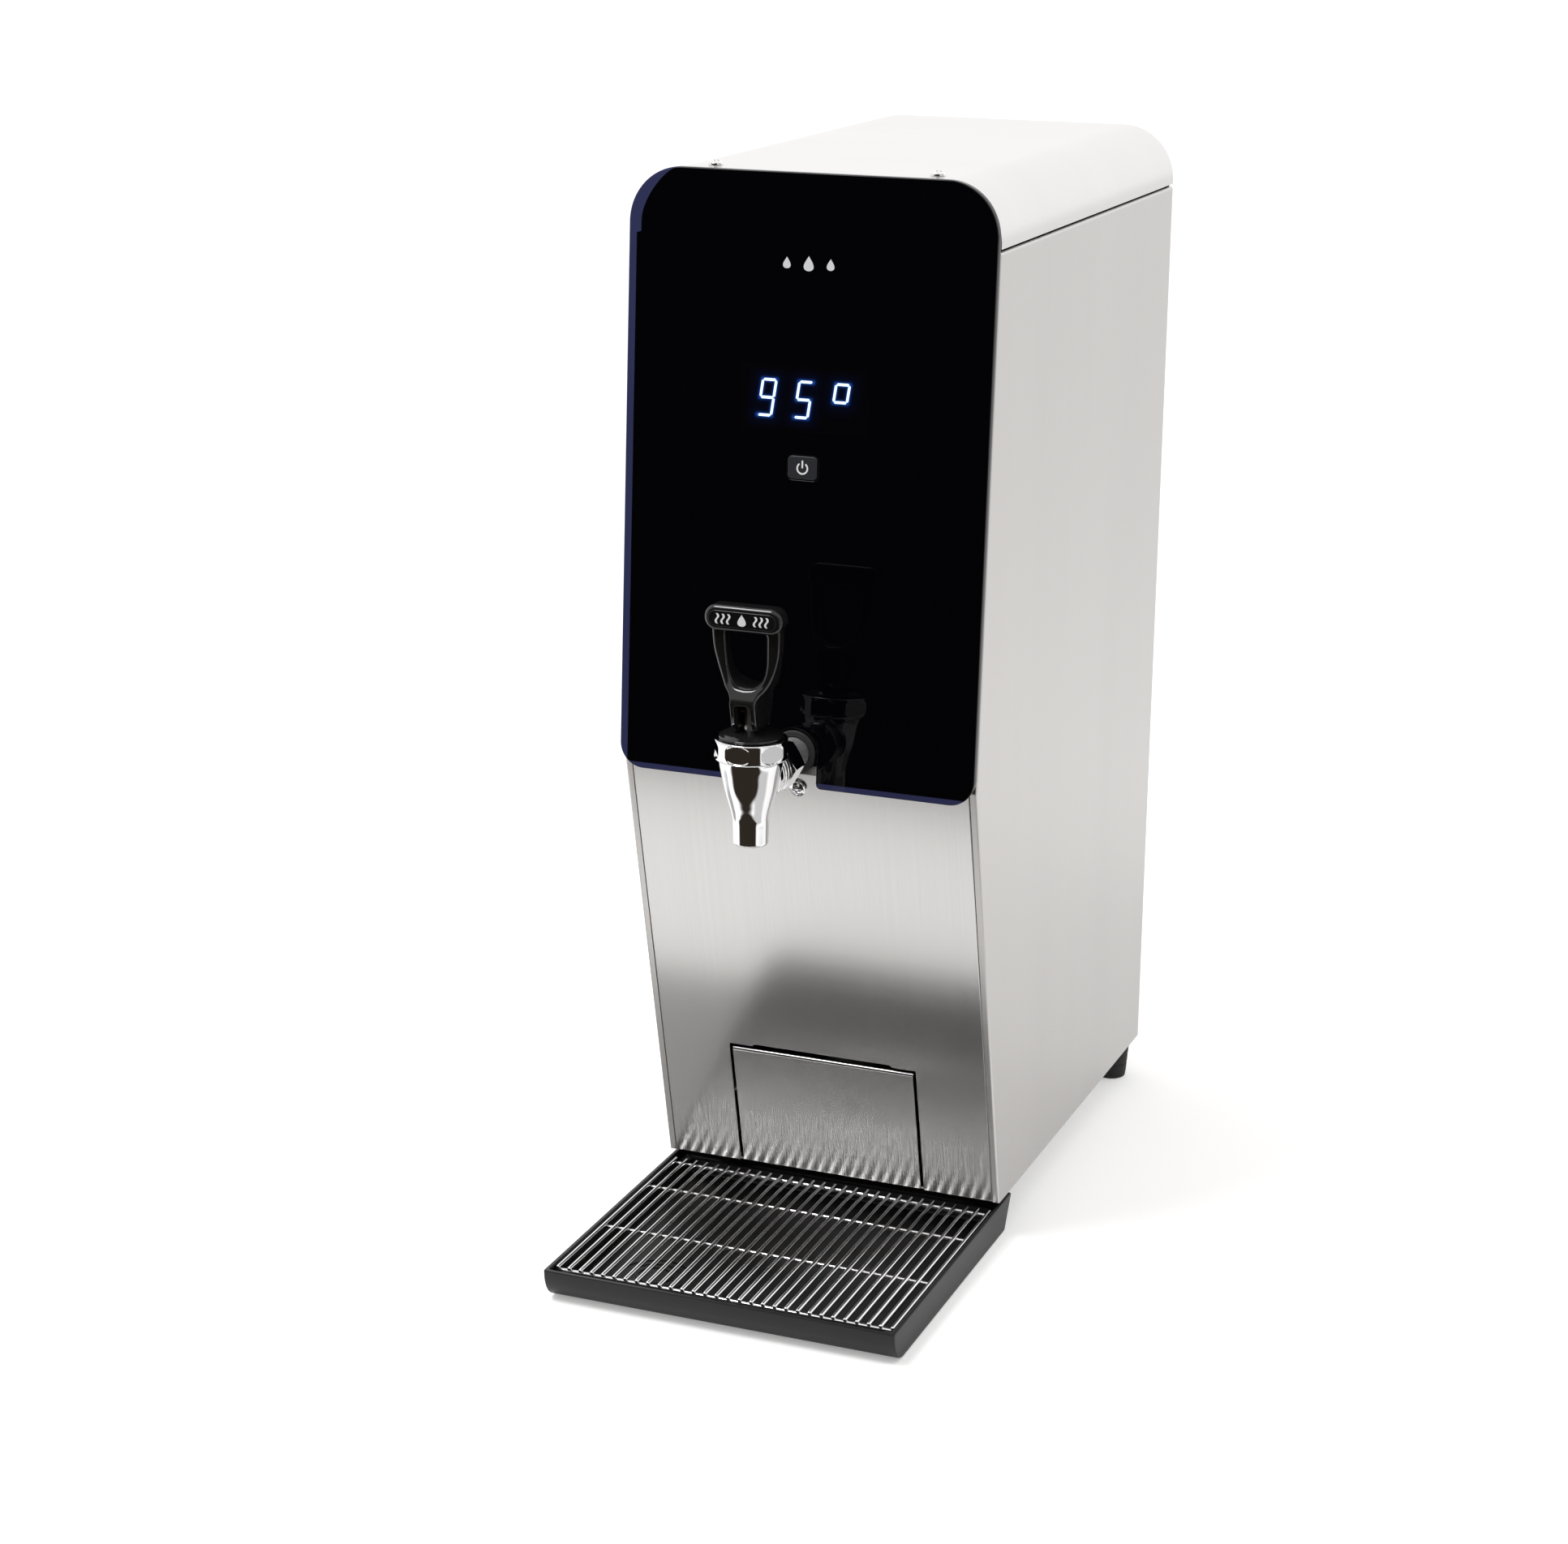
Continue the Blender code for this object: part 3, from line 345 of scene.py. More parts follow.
class Tree:
    """A node tree with one way of adding nodes."""

    def __init__(self, node_tree):
        self.node_tree = node_tree

    def node(self, kind, settings=None, inputs=None, output=0):
        """Adds a node: its settings first, then the values or links of its sockets. Gives one output."""
        node = self.node_tree.nodes.new(kind)
        for name, value in (settings or {}).items():
            setattr(node, name, value)
        for name, value in (inputs or {}).items():
            if isinstance(value, Field):
                self.node_tree.links.new(value.socket, node.inputs[name])
            else:
                node.inputs[name].default_value = value
        return Field(self, node.outputs[output])

    def mix(self, amount, first, second):
        """A colour between two, by an amount from 0 to 1."""
        colors = {6: first, 7: second}
        inputs = {k: v if isinstance(v, Field) else (*v, 1.0) for k, v in colors.items()}
        return self.node("ShaderNodeMix", {"data_type": "RGBA"}, {0: amount, **inputs}, 2)

    def noise(self, place, scale, detail=2.0, stretch=(1, 1, 1)):
        """Noise of about 0 to 1, with scale in patches per metre along each stretched axis."""
        inputs = {"Vector": place, "Scale": [scale * s for s in stretch]}
        sized = self.node("ShaderNodeMapping", {"vector_type": "POINT"}, inputs)
        return self.node("ShaderNodeTexNoise", {}, {"Vector": sized, "Scale": 1.0, "Detail": detail})

    def part(self, vector, axis):
        """One of the three parts of a vector."""
        return self.node("ShaderNodeSeparateXYZ", {}, {"Vector": vector}, "XYZ".index(axis))


class Finish(Tree):
    """A material with one Principled shader, whose even values are set on its own sockets."""

    def __init__(self, name, color, roughness, metallic=0.0, **even):
        self.material = bpy.data.materials.new(name)
        self.material.use_nodes = True
        super().__init__(self.material.node_tree)
        self.shader = self.node_tree.nodes["Principled BSDF"]
        self.set("Base Color", (*color, 1.0))
        self.set("Roughness", roughness)
        self.set("Metallic", metallic)
        for socket, value in even.items():
            self.set(socket.replace("_", " "), value)
        self.place = self.node("ShaderNodeTexCoord", output="Object")
        self.material.diffuse_color = (*color, 1.0)

    def set(self, socket, value):
        if isinstance(value, Field):
            self.node_tree.links.new(value.socket, self.shader.inputs[socket])
        else:
            self.shader.inputs[socket].default_value = value

    def bump(self, height, distance):
        """Relief of the given height field, in metres."""
        inputs = {"Height": height, "Distance": distance, "Strength": 1.0}
        self.set("Normal", self.node("ShaderNodeBump", {}, inputs))

    def varied(self, amount, color, least, most):
        """The colour between its least and its most share, by an amount from 0 to 1."""
        return self.mix(amount, shaded(color, least), shaded(color, most))

    def axis(self, name):
        return self.part(self.place, name)


def shaded(color, share):
    return tuple(channel * share for channel in color)


def brushed_steel(name, look, fine_axis, color=None):
    """Sheet ground along one direction: streaks that are fine across the grain and long along it."""
    color = look.steel_color if color is None else color
    finish = Finish(name, color, look.steel_roughness, 1.0)
    fine = [420.0 if axis == fine_axis else 2.2 for axis in "XYZ"]
    broad = [16.0 if axis == fine_axis else 1.6 for axis in "XYZ"]
    streaks = finish.noise(finish.place, 6.0, 4.0, fine)
    bands = finish.noise(finish.place, 1.0, 2.0, broad)
    shade = finish.varied(bands.step(0.25, 0.75), color, 0.975, 1.02)
    grain = finish.varied(streaks.step(0.2, 0.8), color, 0.96, 1.03)
    finish.set("Base Color", finish.mix(0.5, shade, grain))
    finish.set("Roughness", look.steel_roughness - 0.03 + streaks * 0.06)
    finish.bump(streaks, look.grain_depth)
    return finish.material


def ground_front(name, look):
    """Upright grinding marks over a fairly bright sheet, which is duller where the tap splashes it."""
    finish = Finish(name, look.front_color, look.front_roughness, 1.0)
    marks = finish.noise(finish.place, 1.0, 2.0, (2400.0, 1.2, 1.2))
    finish.set("Base Color", finish.varied(marks.step(0.3, 0.7), look.front_color, 0.96, 1.03))
    splashed = 1 - finish.axis("Z").step(UNDERSIDE + 0.03, HATCH_TOP)
    finish.set("Roughness", look.front_roughness - 0.02 + marks * 0.04 + splashed * 0.07)
    finish.bump(marks, look.front_grain_depth)
    return finish.material


def tray_plastic(name, look):
    """Grained outside, and a smoother, glossier and darker inside."""
    finish = Finish(name, look.tray_color, 0.40, 0.0, Specular_IOR_Level=0.30)
    x = finish.axis("X").absolute()
    y = finish.axis("Y")
    rim = 0.0022
    change = 0.0002
    edge = TRAY_HALF - rim
    nose = TRAY_FRONT + rim
    above = finish.axis("Z").step(0.0008, 0.0012)
    inside = (1 - x.step(edge, edge + change)) * y.step(nose, nose + change) * above
    pores = finish.noise(finish.place, 2600.0, 3.0)
    mottle = finish.noise(finish.place, 60.0, 3.0)
    outside = finish.varied(mottle, look.tray_color, 0.9, 1.1)
    finish.set("Base Color", finish.mix(inside, outside, (0.004, 0.004, 0.004)))
    finish.set("Roughness", 0.36 + pores * 0.08 - inside * 0.10)
    finish.bump(pores, 0.00005)
    return finish.material


def chrome(name, look, roughness=0.022):
    """Polished plate with the faint haze of handling."""
    finish = Finish(name, look.chrome_color, roughness, 1.0)
    haze = finish.noise(finish.place, 90.0, 3.0)
    finish.set("Roughness", roughness + haze.step(0.45, 0.8) * 0.05)
    finish.set("Base Color", finish.varied(haze, look.chrome_color, 1.0, 0.96))
    return finish.material


def turned_steel(name, look):
    """Bare turned bar, with rings round its length."""
    finish = Finish(name, look.bare_color, 0.28, 1.0)
    rings = finish.noise(finish.place, 900.0, 2.0, (0.05, 1.0, 0.05))
    finish.set("Roughness", 0.42 + rings * 0.14)
    finish.set("Base Color", finish.varied(rings, look.bare_color, 1.0, 1.25))
    finish.bump(rings, 0.000006)
    return finish.material


def smeared(finish):
    """Glass with a few faint smears, which are a little duller."""
    smears = finish.noise(finish.place, 38.0, 4.0)
    finish.set("Roughness", 0.018 + smears.step(0.55, 0.85) * 0.03)


def black_glass(name, look):
    """Back-painted glass: nearly black, with a navy margin of painted light along its left and lower edges, where
    light enters them.
    The left margin follows the rounded corner: its width is compared with the distance in from the outline,
    which is the corner radius less the length from the corner's centre."""
    finish = Finish(name, look.glass_color, 0.03, 0.0, IOR=1.5, Specular_IOR_Level=0.13)
    x = finish.axis("X")
    z = finish.axis("Z")
    margin = look.edge_light_width
    corner_x = -HALF + GLASS_CORNER
    corner_z = high("front_fascia", 2) - GLASS_CORNER
    beside = (corner_x - x).at_least(0.0)
    above = (z - corner_z).at_least(0.0)
    inward = GLASS_CORNER - (beside * beside + above * above) ** 0.5
    wider = 0.9 + z.step(corner_z - 0.006, corner_z - 0.005) * 0.5
    width = wider * (1 - x.step(-HALF + 0.008, corner_x)) * margin
    left = (width - inward).step(0.0, 0.0003)
    foot_at = low("front_fascia", 2)
    foot = 1 - z.step(foot_at + 0.60 * margin, foot_at + 0.70 * margin)
    depth = finish.noise(finish.place, 14.0, 2.0)
    # Painted light: the navy glow of light entering the glass's left and lower edges.
    navy = finish.varied(depth, look.edge_light_color, 0.7, 1.0)
    finish.set("Base Color", finish.mix(left.at_least(foot), look.glass_color, navy))
    smeared(finish)
    return finish.material


def moulded(name, color, roughness, grain, depth, **even):
    """Moulded plastic or rubber: an even colour with a slight mottle and a fine relief."""
    finish = Finish(name, color, roughness, 0.0, **even)
    mottle = finish.noise(finish.place, 60.0, 3.0)
    pores = finish.noise(finish.place, grain, 3.0)
    finish.set("Base Color", finish.varied(mottle.step(0.2, 0.8), color, 0.85, 1.15))
    finish.set("Roughness", roughness - 0.04 + pores * 0.08)
    finish.bump(pores, depth)
    return finish.material


def button_face(name, color):
    """Grey on the pressed area of the cap, and black on the narrow rim round it."""
    finish = Finish(name, color, 0.4)
    corner_low, corner_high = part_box("power_button")
    middle = (corner_low[2] + corner_high[2]) / 2
    across_face = 1 - finish.axis("X").absolute().step(0.0083, 0.0084)
    up_face = 1 - (finish.axis("Z") - middle).absolute().step(0.0064, 0.0065)
    pores = finish.noise(finish.place, 2500.0, 3.0)
    grey = finish.varied(pores, color, 0.9, 1.1)
    finish.set("Base Color", finish.mix(across_face * up_face, shaded(color, 0.08), grey))
    finish.set("Roughness", 0.36 + pores * 0.08)
    finish.bump(pores, 0.00003)
    return finish.material


def printed_mark(name, color):
    """Screen-printed ink with slightly uneven cover."""
    finish = Finish(name, color, 0.45)
    cover = finish.noise(finish.place, 1200.0, 2.0)
    finish.set("Base Color", finish.varied(cover, color, 0.92, 1.0))
    finish.bump(cover, 0.000004)
    return finish.material


def machined_metal(name, color, roughness):
    """A machined metal with tool marks and a little tarnish."""
    finish = Finish(name, color, roughness, 1.0)
    marks = finish.noise(finish.place, 700.0, 2.0, (0.2, 1.0, 0.2))
    tarnish = finish.noise(finish.place, 80.0, 4.0)
    finish.set("Base Color", finish.varied(tarnish.step(0.4, 0.8), color, 1.0, 0.72))
    finish.set("Roughness", roughness + tarnish.step(0.3, 0.9) * 0.15)
    finish.bump(marks, 0.00001)
    return finish.material


def lit_segments(name, look):
    """Light-emitting segments, whose brightness varies a little over them."""
    finish = Finish(name, (0.1, 0.12, 0.16), 0.3, Emission_Strength=look.display_strength)
    glow = finish.noise(finish.place, 700.0, 1.0)
    finish.set("Emission Color", finish.varied(glow.step(0.3, 0.7), look.display_color, 0.9, 1.0))
    return finish.material


def glowing_glass(name, look):
    """The glass over the display: black, with a painted glow, the haze of light that spreads round the lit
    segments.
    """
    finish = Finish(name, look.glass_color, 0.03, 0.0, Specular_IOR_Level=0.28,
                    Emission_Strength=look.display_strength)
    haze = finish.node("ShaderNodeAttribute", {"attribute_name": "haze"}, output="Fac")
    finish.set("Emission Color", finish.mix(haze, (0.0, 0.0, 0.0), look.haze_color))
    smeared(finish)
    return finish.material


FINISHES = {}


def make_finishes(look):
    """Every finish by name; those of the record's slots carry the slot's name."""
    made = {
        "brushed_steel": brushed_steel("brushed_steel", look, "Y"),
        "side_steel": brushed_steel("side_steel", look, "Y", look.side_color),
        "front_steel": ground_front("front_steel", look),
        "door_steel": ground_front("door_steel", look),
        "chrome": chrome("chrome", look),
        "wire_chrome": chrome("wire_chrome", look, 0.13),
        "steel_dark": turned_steel("steel_dark", look),
        "glass_black": black_glass("glass_black", look),
        "display_glass": glowing_glass("display_glass", look),
        "display": lit_segments("display", look),
        "plastic_black": moulded("plastic_black", (0.010, 0.010, 0.011), 0.16, 500.0, 0.00002),
        "handle_black": moulded("handle_black", (0.009, 0.009, 0.009), 0.10, 260.0, 0.000008),
        "tray_black": tray_plastic("tray_black", look),
        "rubber_black": moulded("rubber_black", (0.012, 0.012, 0.012), 0.7, 1800.0, 0.00008),
        "button_grey": button_face("button_grey", (0.024, 0.025, 0.031)),
        "label_black": moulded("label_black", (0.006, 0.006, 0.007), 0.22, 400.0, 0.00001),
        "mark_grey": printed_mark("mark_grey", (0.80, 0.81, 0.83)),
        "mark_white": printed_mark("mark_white", (0.97, 0.97, 0.97)),
        "silicone": moulded("silicone", (0.70, 0.67, 0.62), 0.5, 300.0, 0.00005, Subsurface_Weight=0.2),
        "insulation": moulded("insulation", (0.16, 0.16, 0.17), 0.9, 900.0, 0.0006),
        "board_green": moulded("board_green", (0.02, 0.13, 0.06), 0.35, 1500.0, 0.00004),
        "brass": machined_metal("brass", (0.70, 0.50, 0.22), 0.25),
        "valve_white": moulded("valve_white", (0.72, 0.72, 0.69), 0.4, 1500.0, 0.00003),
    }
    FINISHES.update(made)


# ---------------------------------------------------------------- cabinet


def side_panel(name, side):
    """At each height the section runs along the front flange, round its bend and back along the side,
    then returns one sheet thickness inside. At the top the outside pulls in over a quarter circle."""
    bend = 0.0012
    margin = 0.0003
    ease = 0.0016
    bend_points = arc((bend, bend), bend, 270, 180, 6)
    outside = joined([(FLANGE, 0), (bend + margin, 0)], bend_points, [(0, bend + margin), (0, 1)])
    inside = joined([(SHEET, 1), (SHEET, SHEET), (FLANGE, SHEET)])
    section = joined(outside, inside)
    is_outside = np.arange(len(section)) < len(outside)
    turn = np.linspace(0, math.pi / 2, 6)
    seam = 0.0007
    top = SIDE_TOP - seam - ease - margin
    heights = [UNDERSIDE, UNDERSIDE + margin, BEND_Z - 0.0006, BEND_Z, BEND_Z + 0.0006, top]
    z = np.concatenate([heights, SIDE_TOP - seam - ease + ease * np.sin(turn)])[:, None]
    pull = np.concatenate([np.zeros(len(heights)), ease * (1 - np.cos(turn))])[:, None]
    front = np.where(z > BEND_Z, upper_front(z), lower_front(z))
    inward = section[:, 0] + pull * is_outside * (section[:, 0] < SHEET)
    y = np.where(section[:, 1] == 1, BACK_Y, front + section[:, 1])
    points = np.stack(np.broadcast_arrays(side * (HALF - inward), y, z), -1)
    shape = Shape()
    shape.grid(points)
    piece(name, shape, FINISHES["side_steel"], stands_for=[name])


def lid():
    """The arch is a flat top between two quarter circles, carried from the leaning front edge to the back."""
    middle = LID_TOP - LID_RADIUS
    margin = 0.0006

    def arch(half, radius):
        left = arc((-half + radius, middle), radius, 180, 90, 28)
        right = arc((half - radius, middle), radius, 90, 0, 28)
        top = middle + radius
        beside = [(-half, middle - margin)]
        flat = [(-half + radius + margin, top), (half - radius - margin, top)]
        end = [(half, middle - margin), (half, LID_LOW)]
        return joined([(-half, LID_LOW)], beside, left, flat, right, end)

    outer = arch(HALF, LID_RADIUS)
    inner = arch(HALF - SHEET, LID_RADIUS - SHEET)[::-1]
    section = joined(outer, inner)
    front = upper_front(section[:, 1]) + GAP
    share = np.array([0.0, 0.001, 0.25, 0.5, 0.75, 0.999, 1.0])[:, None]
    y = front * (1 - share) + BACK_Y * share
    points = np.stack(np.broadcast_arrays(section[:, 0], y, section[:, 1]), -1)
    shape = Shape()
    shape.grid(points)
    piece("top_cover_shell", shape, FINISHES["brushed_steel"], stands_for=["top_cover"])


def pan_head(shape, centre, outward, radius, height):
    """A domed head with a cross recess. Over the radius r from 0 to 1 the dome is the height times
    sqrt(1 - 0.8 r^2), and inside the four arms of the cross it drops to a flat floor."""
    r = np.concatenate([np.linspace(0, 0.97, 26), [1.0]])[:, None]
    angle = np.linspace(0, 2 * math.pi, 96, endpoint=False)[None, :]
    u = r * np.cos(angle)
    v = r * np.sin(angle)
    arm = np.minimum(np.abs(u), np.abs(v))
    in_arm = np.clip((0.15 - arm) / 0.05, 0, 1) * np.clip((0.60 - r) / 0.12, 0, 1)
    dome = np.sqrt(1 - 0.8 * r**2) * np.where(r < 1, 1, 0.8)
    lift = height * (dome - 0.55 * in_arm)
    foot = np.zeros((2, 96))
    radii = np.concatenate([r + 0 * angle, foot + [[1.0], [0.0]]]) * radius
    lifts = np.concatenate([lift, foot])
    first, second = across(outward)
    turn = np.concatenate([angle + 0 * r, np.repeat(angle, 2, 0)])
    points = (
        np.asarray(centre)
        + (radii * np.cos(turn))[..., None] * first
        + (radii * np.sin(turn))[..., None] * second
        + lifts[..., None] * outward
    )
    shape.grid(points, caps=False)


def screws():
    """The two screws on the lid and the one under the tap."""
    for word in ("left", "right"):
        node = "top_cover_screw_" + word
        corner_low, corner_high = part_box(node)
        centre = [(corner_low[0] + corner_high[0]) / 2, (corner_low[1] + corner_high[1]) / 2,
                  LID_TOP + 0.0002]
        shape = Shape()
        pan_head(shape, centre, UP, (corner_high[0] - corner_low[0]) / 2, corner_high[2] - centre[2])
        piece(node + "_head", shape, FINISHES["chrome"], stands_for=[node])
    outward = np.array([0, -1, -RECESS]) / math.hypot(1, RECESS)
    radius = high("lower_panel_screw", 0)
    z = 0.2815
    shape = Shape()
    pan_head(shape, np.array([0, lower_front(z), z]) + outward * 0.0002, outward, radius, 0.0033)
    piece("lower_panel_screw_head", shape, FINISHES["chrome"],
          stands_for=["lower_panel_screw"])


def fascia():
    """The glass front with its rounded corners, the arched slot at its foot and the button's window."""
    bottom = low("front_fascia", 2)
    top = high("front_fascia", 2)
    slot = 0.0135
    fillet = 0.0030
    outline = joined(
        arc((slot + fillet, bottom + fillet), fillet, 180, 270, 6),
        arc((HALF - GLASS_FOOT_CORNER, bottom + GLASS_FOOT_CORNER), GLASS_FOOT_CORNER, 270, 360, 20),
        arc((HALF - GLASS_CORNER, top - GLASS_CORNER), GLASS_CORNER, 0, 90, 32),
        arc((-HALF + GLASS_CORNER, top - GLASS_CORNER), GLASS_CORNER, 90, 180, 32),
        arc((-HALF + GLASS_FOOT_CORNER, bottom + GLASS_FOOT_CORNER), GLASS_FOOT_CORNER, 180, 270, 20),
        arc((-slot - fillet, bottom + fillet), fillet, 270, 360, 6),
        arc((0, SHANK_Z), slot, 180, 0, 28),
    )
    corner_low, corner_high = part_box("power_button")
    window = rounded_box(corner_high[0] + GAP, corner_low[2] - GAP, corner_high[2] + GAP, 0.0026,
                         0.0026)[::-1]
    shape = Shape()
    shape.slab(outline, eased_layers(GLASS_FRONT, GLASS_BACK, 0.0007), on_upper, [window])
    piece("front_glass", shape, FINISHES["glass_black"], stands_for=["front_fascia"])


def over_base(u, v, d):
    return np.stack([u, lower_front(UNDERSIDE) + SHEET + v, d], -1)


def lower_panel():
    """The receding front with its hatch opening and finger notch, the tongue behind the glass,
    and two rails that run back over the base."""
    half = HALF - FLANGE - GAP
    foot = UNDERSIDE + 0.0003
    hatch = HATCH_HALF
    top = HATCH_TOP
    finger = 0.0435
    rise = 0.0014
    outline = joined(
        [(-half, foot), (-hatch, foot)],
        arc((-hatch + 0.0008, top - 0.0008), 0.0008, 180, 90, 4),
        [(-finger, top), (-finger + 0.001, top + rise), (finger - 0.001, top + rise), (finger, top)],
        arc((hatch - 0.0008, top - 0.0008), 0.0008, 90, 0, 4),
        [(hatch, foot), (half, foot), (half, BEND_Z), (-half, BEND_Z)],
    )
    shape = Shape()
    shape.slab(outline, eased_layers(0, SHEET, 0.0003, 3, 0.0002), on_lower)
    for side in (-1, 1):
        rail = joined([(RAIL_X[0], -0.0005), (RAIL_X[1], -0.0005), (RAIL_X[1], RAIL_LENGTH),
                       (RAIL_X[0], RAIL_LENGTH)])
        rail = rail if side > 0 else mirrored(rail)
        bottom = UNDERSIDE + SHEET + GAP
        shape.slab(rail, eased_layers(bottom, bottom + SHEET, 0.0002, 2, 0.0002), over_base)
    tongue = joined([(-half, BEND_Z), (half, BEND_Z), (half, BEND_Z + 0.005), (-half, BEND_Z + 0.005)])
    shape.slab(tongue, eased_layers(0, SHEET, 0.0001, 2, 0.0001), on_upper)
    piece("lower_front", shape, FINISHES["front_steel"],
          stands_for=["lower_front_panel"])


def access_panel():
    """The drop-down panel: a flat face that folds back over a small radius along its top."""
    foot = low("access_panel", 2)
    top = HATCH_TOP - HATCH_GAP
    fold = 0.0026
    margin = 0.0003
    outer = joined([(0, foot), (0, top - fold - margin)], arc((fold, top - fold), fold, 180, 90, 8),
                   [(fold + margin, top), (0.0080, top)])
    inner = joined([(0.0080, top - SHEET)], arc((fold, top - fold), fold - SHEET, 90, 180, 5),
                   [(SHEET, foot)])
    section = joined(outer, inner)
    half = HATCH_HALF - HATCH_GAP
    x = np.array([-half, -half + margin, half - margin, half])[:, None]
    y = lower_front(section[:, 1]) + section[:, 0]
    points = np.stack(np.broadcast_arrays(x, y, section[:, 1]), -1)
    shape = Shape()
    shape.grid(points)
    piece("access_door", shape, FINISHES["door_steel"], "access_panel", ["access_panel"])


# ---------------------------------------------------------------- display and button

DIGIT_HEIGHT = 0.0207
DIGIT_WIDTH = 0.0092
DIGIT_PITCH = 0.0211
DIGIT_STROKE = 0.0015
DIGIT_SLANT = math.tan(math.radians(7.7))
DISPLAY_Z = 0.49755
SEGMENTS = {
    "a": ((0, 1), (1, 1)),
    "b": ((1, 0.5), (1, 1)),
    "c": ((1, 0), (1, 0.5)),
    "d": ((0, 0), (1, 0)),
    "e": ((0, 0), (0, 0.5)),
    "f": ((0, 0.5), (0, 1)),
    "g": ((0, 0.5), (1, 0.5)),
}
READING = ("abcdfg", "acdfg", "abfg")


def lit_lines():
    """Start and end of each lit segment on the glass, as an array of (segments, 2 ends, 2)."""
    size = np.array([DIGIT_WIDTH - DIGIT_STROKE, DIGIT_HEIGHT - DIGIT_STROKE])
    lines = []
    for place, lit in enumerate(READING):
        corner = np.array([DIGIT_PITCH * (place - 1) - DIGIT_WIDTH / 2 - 0.0006 + DIGIT_STROKE / 2,
                           DISPLAY_Z - size[1] / 2])
        lines += [[corner + size * np.array(end) for end in SEGMENTS[letter]] for letter in lit]
    return np.array(lines)


def slanted(points):
    """Leans digits to the right about the middle of their height."""
    return np.stack([points[..., 0] + DIGIT_SLANT * (points[..., 1] - DISPLAY_Z), points[..., 1]], -1)


def display():
    """Each segment is a bar with pointed ends; round them the glass carries a painted glow of light, a haze
    that falls off with the distance to the nearest segment."""
    shape = Shape()
    for start, end in lit_lines():
        along = (end - start) / np.linalg.norm(end - start)
        side = np.array([-along[1], along[0]]) * DIGIT_STROKE / 2
        tip = along * DIGIT_STROKE * 0.12
        shoulder = along * DIGIT_STROKE * 0.55
        bar = [start + tip, start + shoulder - side, end - shoulder - side, end - tip,
               end - shoulder + side, start + shoulder + side]
        shape.slab(slanted(np.array(bar)), eased_layers(GLASS_FRONT - 0.00012, GLASS_FRONT + 0.0002, 0.0001,
                                                        2, 0.00002),
                   on_upper)
    piece("display_digits", shape, FINISHES["display"])
    u, v = np.meshgrid(np.linspace(-0.037, 0.037, 150), np.linspace(-0.018, 0.018, 74), indexing="ij")
    flat = np.stack([u, v + DISPLAY_Z], -1)
    lines = slanted(lit_lines())
    start, end = lines[:, 0], lines[:, 1]
    along = end - start
    reach = flat[:, :, None, :] - start
    share = np.clip((reach * along).sum(-1) / (along * along).sum(-1), 0, 1)
    distance = np.linalg.norm(reach - share[..., None] * along, axis=-1).min(-1)
    edge = np.clip(np.minimum(0.037 - np.abs(u), 0.018 - np.abs(v)) / 0.004, 0, 1)
    # Painted glow of light round the lit segments, stored on the glass as the haze attribute.
    haze = (0.42 * np.exp(-((distance / 0.0011) ** 2)) + 0.02 * np.exp(-distance / 0.0030)) * edge
    lift = 0.00004
    front = on_upper(flat[..., 0], flat[..., 1], GLASS_FRONT - lift)
    shape = Shape()
    rows, columns = u.shape
    i, j = np.meshgrid(np.arange(rows - 1), np.arange(columns - 1), indexing="ij")
    first = i * columns + j
    shape.add(front, np.stack([first, first + 1, first + columns + 1, first + columns], -1).reshape(-1, 4))
    rim = np.concatenate([np.arange(columns), np.arange(1, rows) * columns + columns - 1,
                          rows * columns - 2 - np.arange(columns - 1),
                          (rows - 2 - np.arange(rows - 2)) * columns])
    behind = front.reshape(-1, 3)[rim] + [0, 0.0002, 0]
    base = shape.count
    count = len(rim)
    shape.add(behind, np.arange(count)[None, :])
    ring = np.arange(count)
    walls = np.stack([rim, rim[(ring + 1) % count], base + (ring + 1) % count, base + ring], -1)
    shape.faces += walls.tolist()
    window = piece("display_window", shape, FINISHES["display_glass"])
    values = np.zeros(len(window.data.vertices), np.float32)
    values[: haze.size] = haze.reshape(-1)
    window.data.attributes.new("haze", "FLOAT", "POINT").data.foreach_set("value", values)


def power_button():
    """The cap in its window, with a broken ring and a bar as its power mark."""
    corner_low, corner_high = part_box("power_button")
    outline = rounded_box(corner_high[0], corner_low[2], corner_high[2], 0.0024, 0.0024)
    shape = Shape()
    shape.slab(outline, eased_layers(GLASS_FRONT - 0.0002, 0.0040, 0.0004), on_upper)
    piece("button_cap", shape, FINISHES["button_grey"], "power_button", ["power_button"])
    middle = (corner_low[2] + corner_high[2]) / 2
    shape = Shape()
    layers = eased_layers(GLASS_FRONT - 0.00026, GLASS_FRONT - 0.0001, 0.00006, 2, 0.00002)
    ring = joined(arc((0, middle - 0.0003), 0.0034, 125, 415, 40),
                  arc((0, middle - 0.0003), 0.0025, 415, 125, 40))
    shape.slab(ring, layers, on_upper)
    bar = rounded_box(0.00048, middle - 0.0002, middle + 0.0040, 0.00018, 0.00018, 3)
    shape.slab(bar, layers, on_upper)
    piece("button_mark", shape, FINISHES["mark_white"], "power_button")


def droplet(centre, width, height, steps=40):
    """A drop: across it is the width times sin t sin^1.5(t/2), and up it the height times cos t."""
    t = np.linspace(2 * math.pi, 0, steps, endpoint=False)
    across_it = 0.65 * width * np.sin(t) * np.abs(np.sin(t / 2)) ** 1.5
    return np.stack([centre[0] + across_it, centre[1] + 0.5 * height * np.cos(t)], -1)


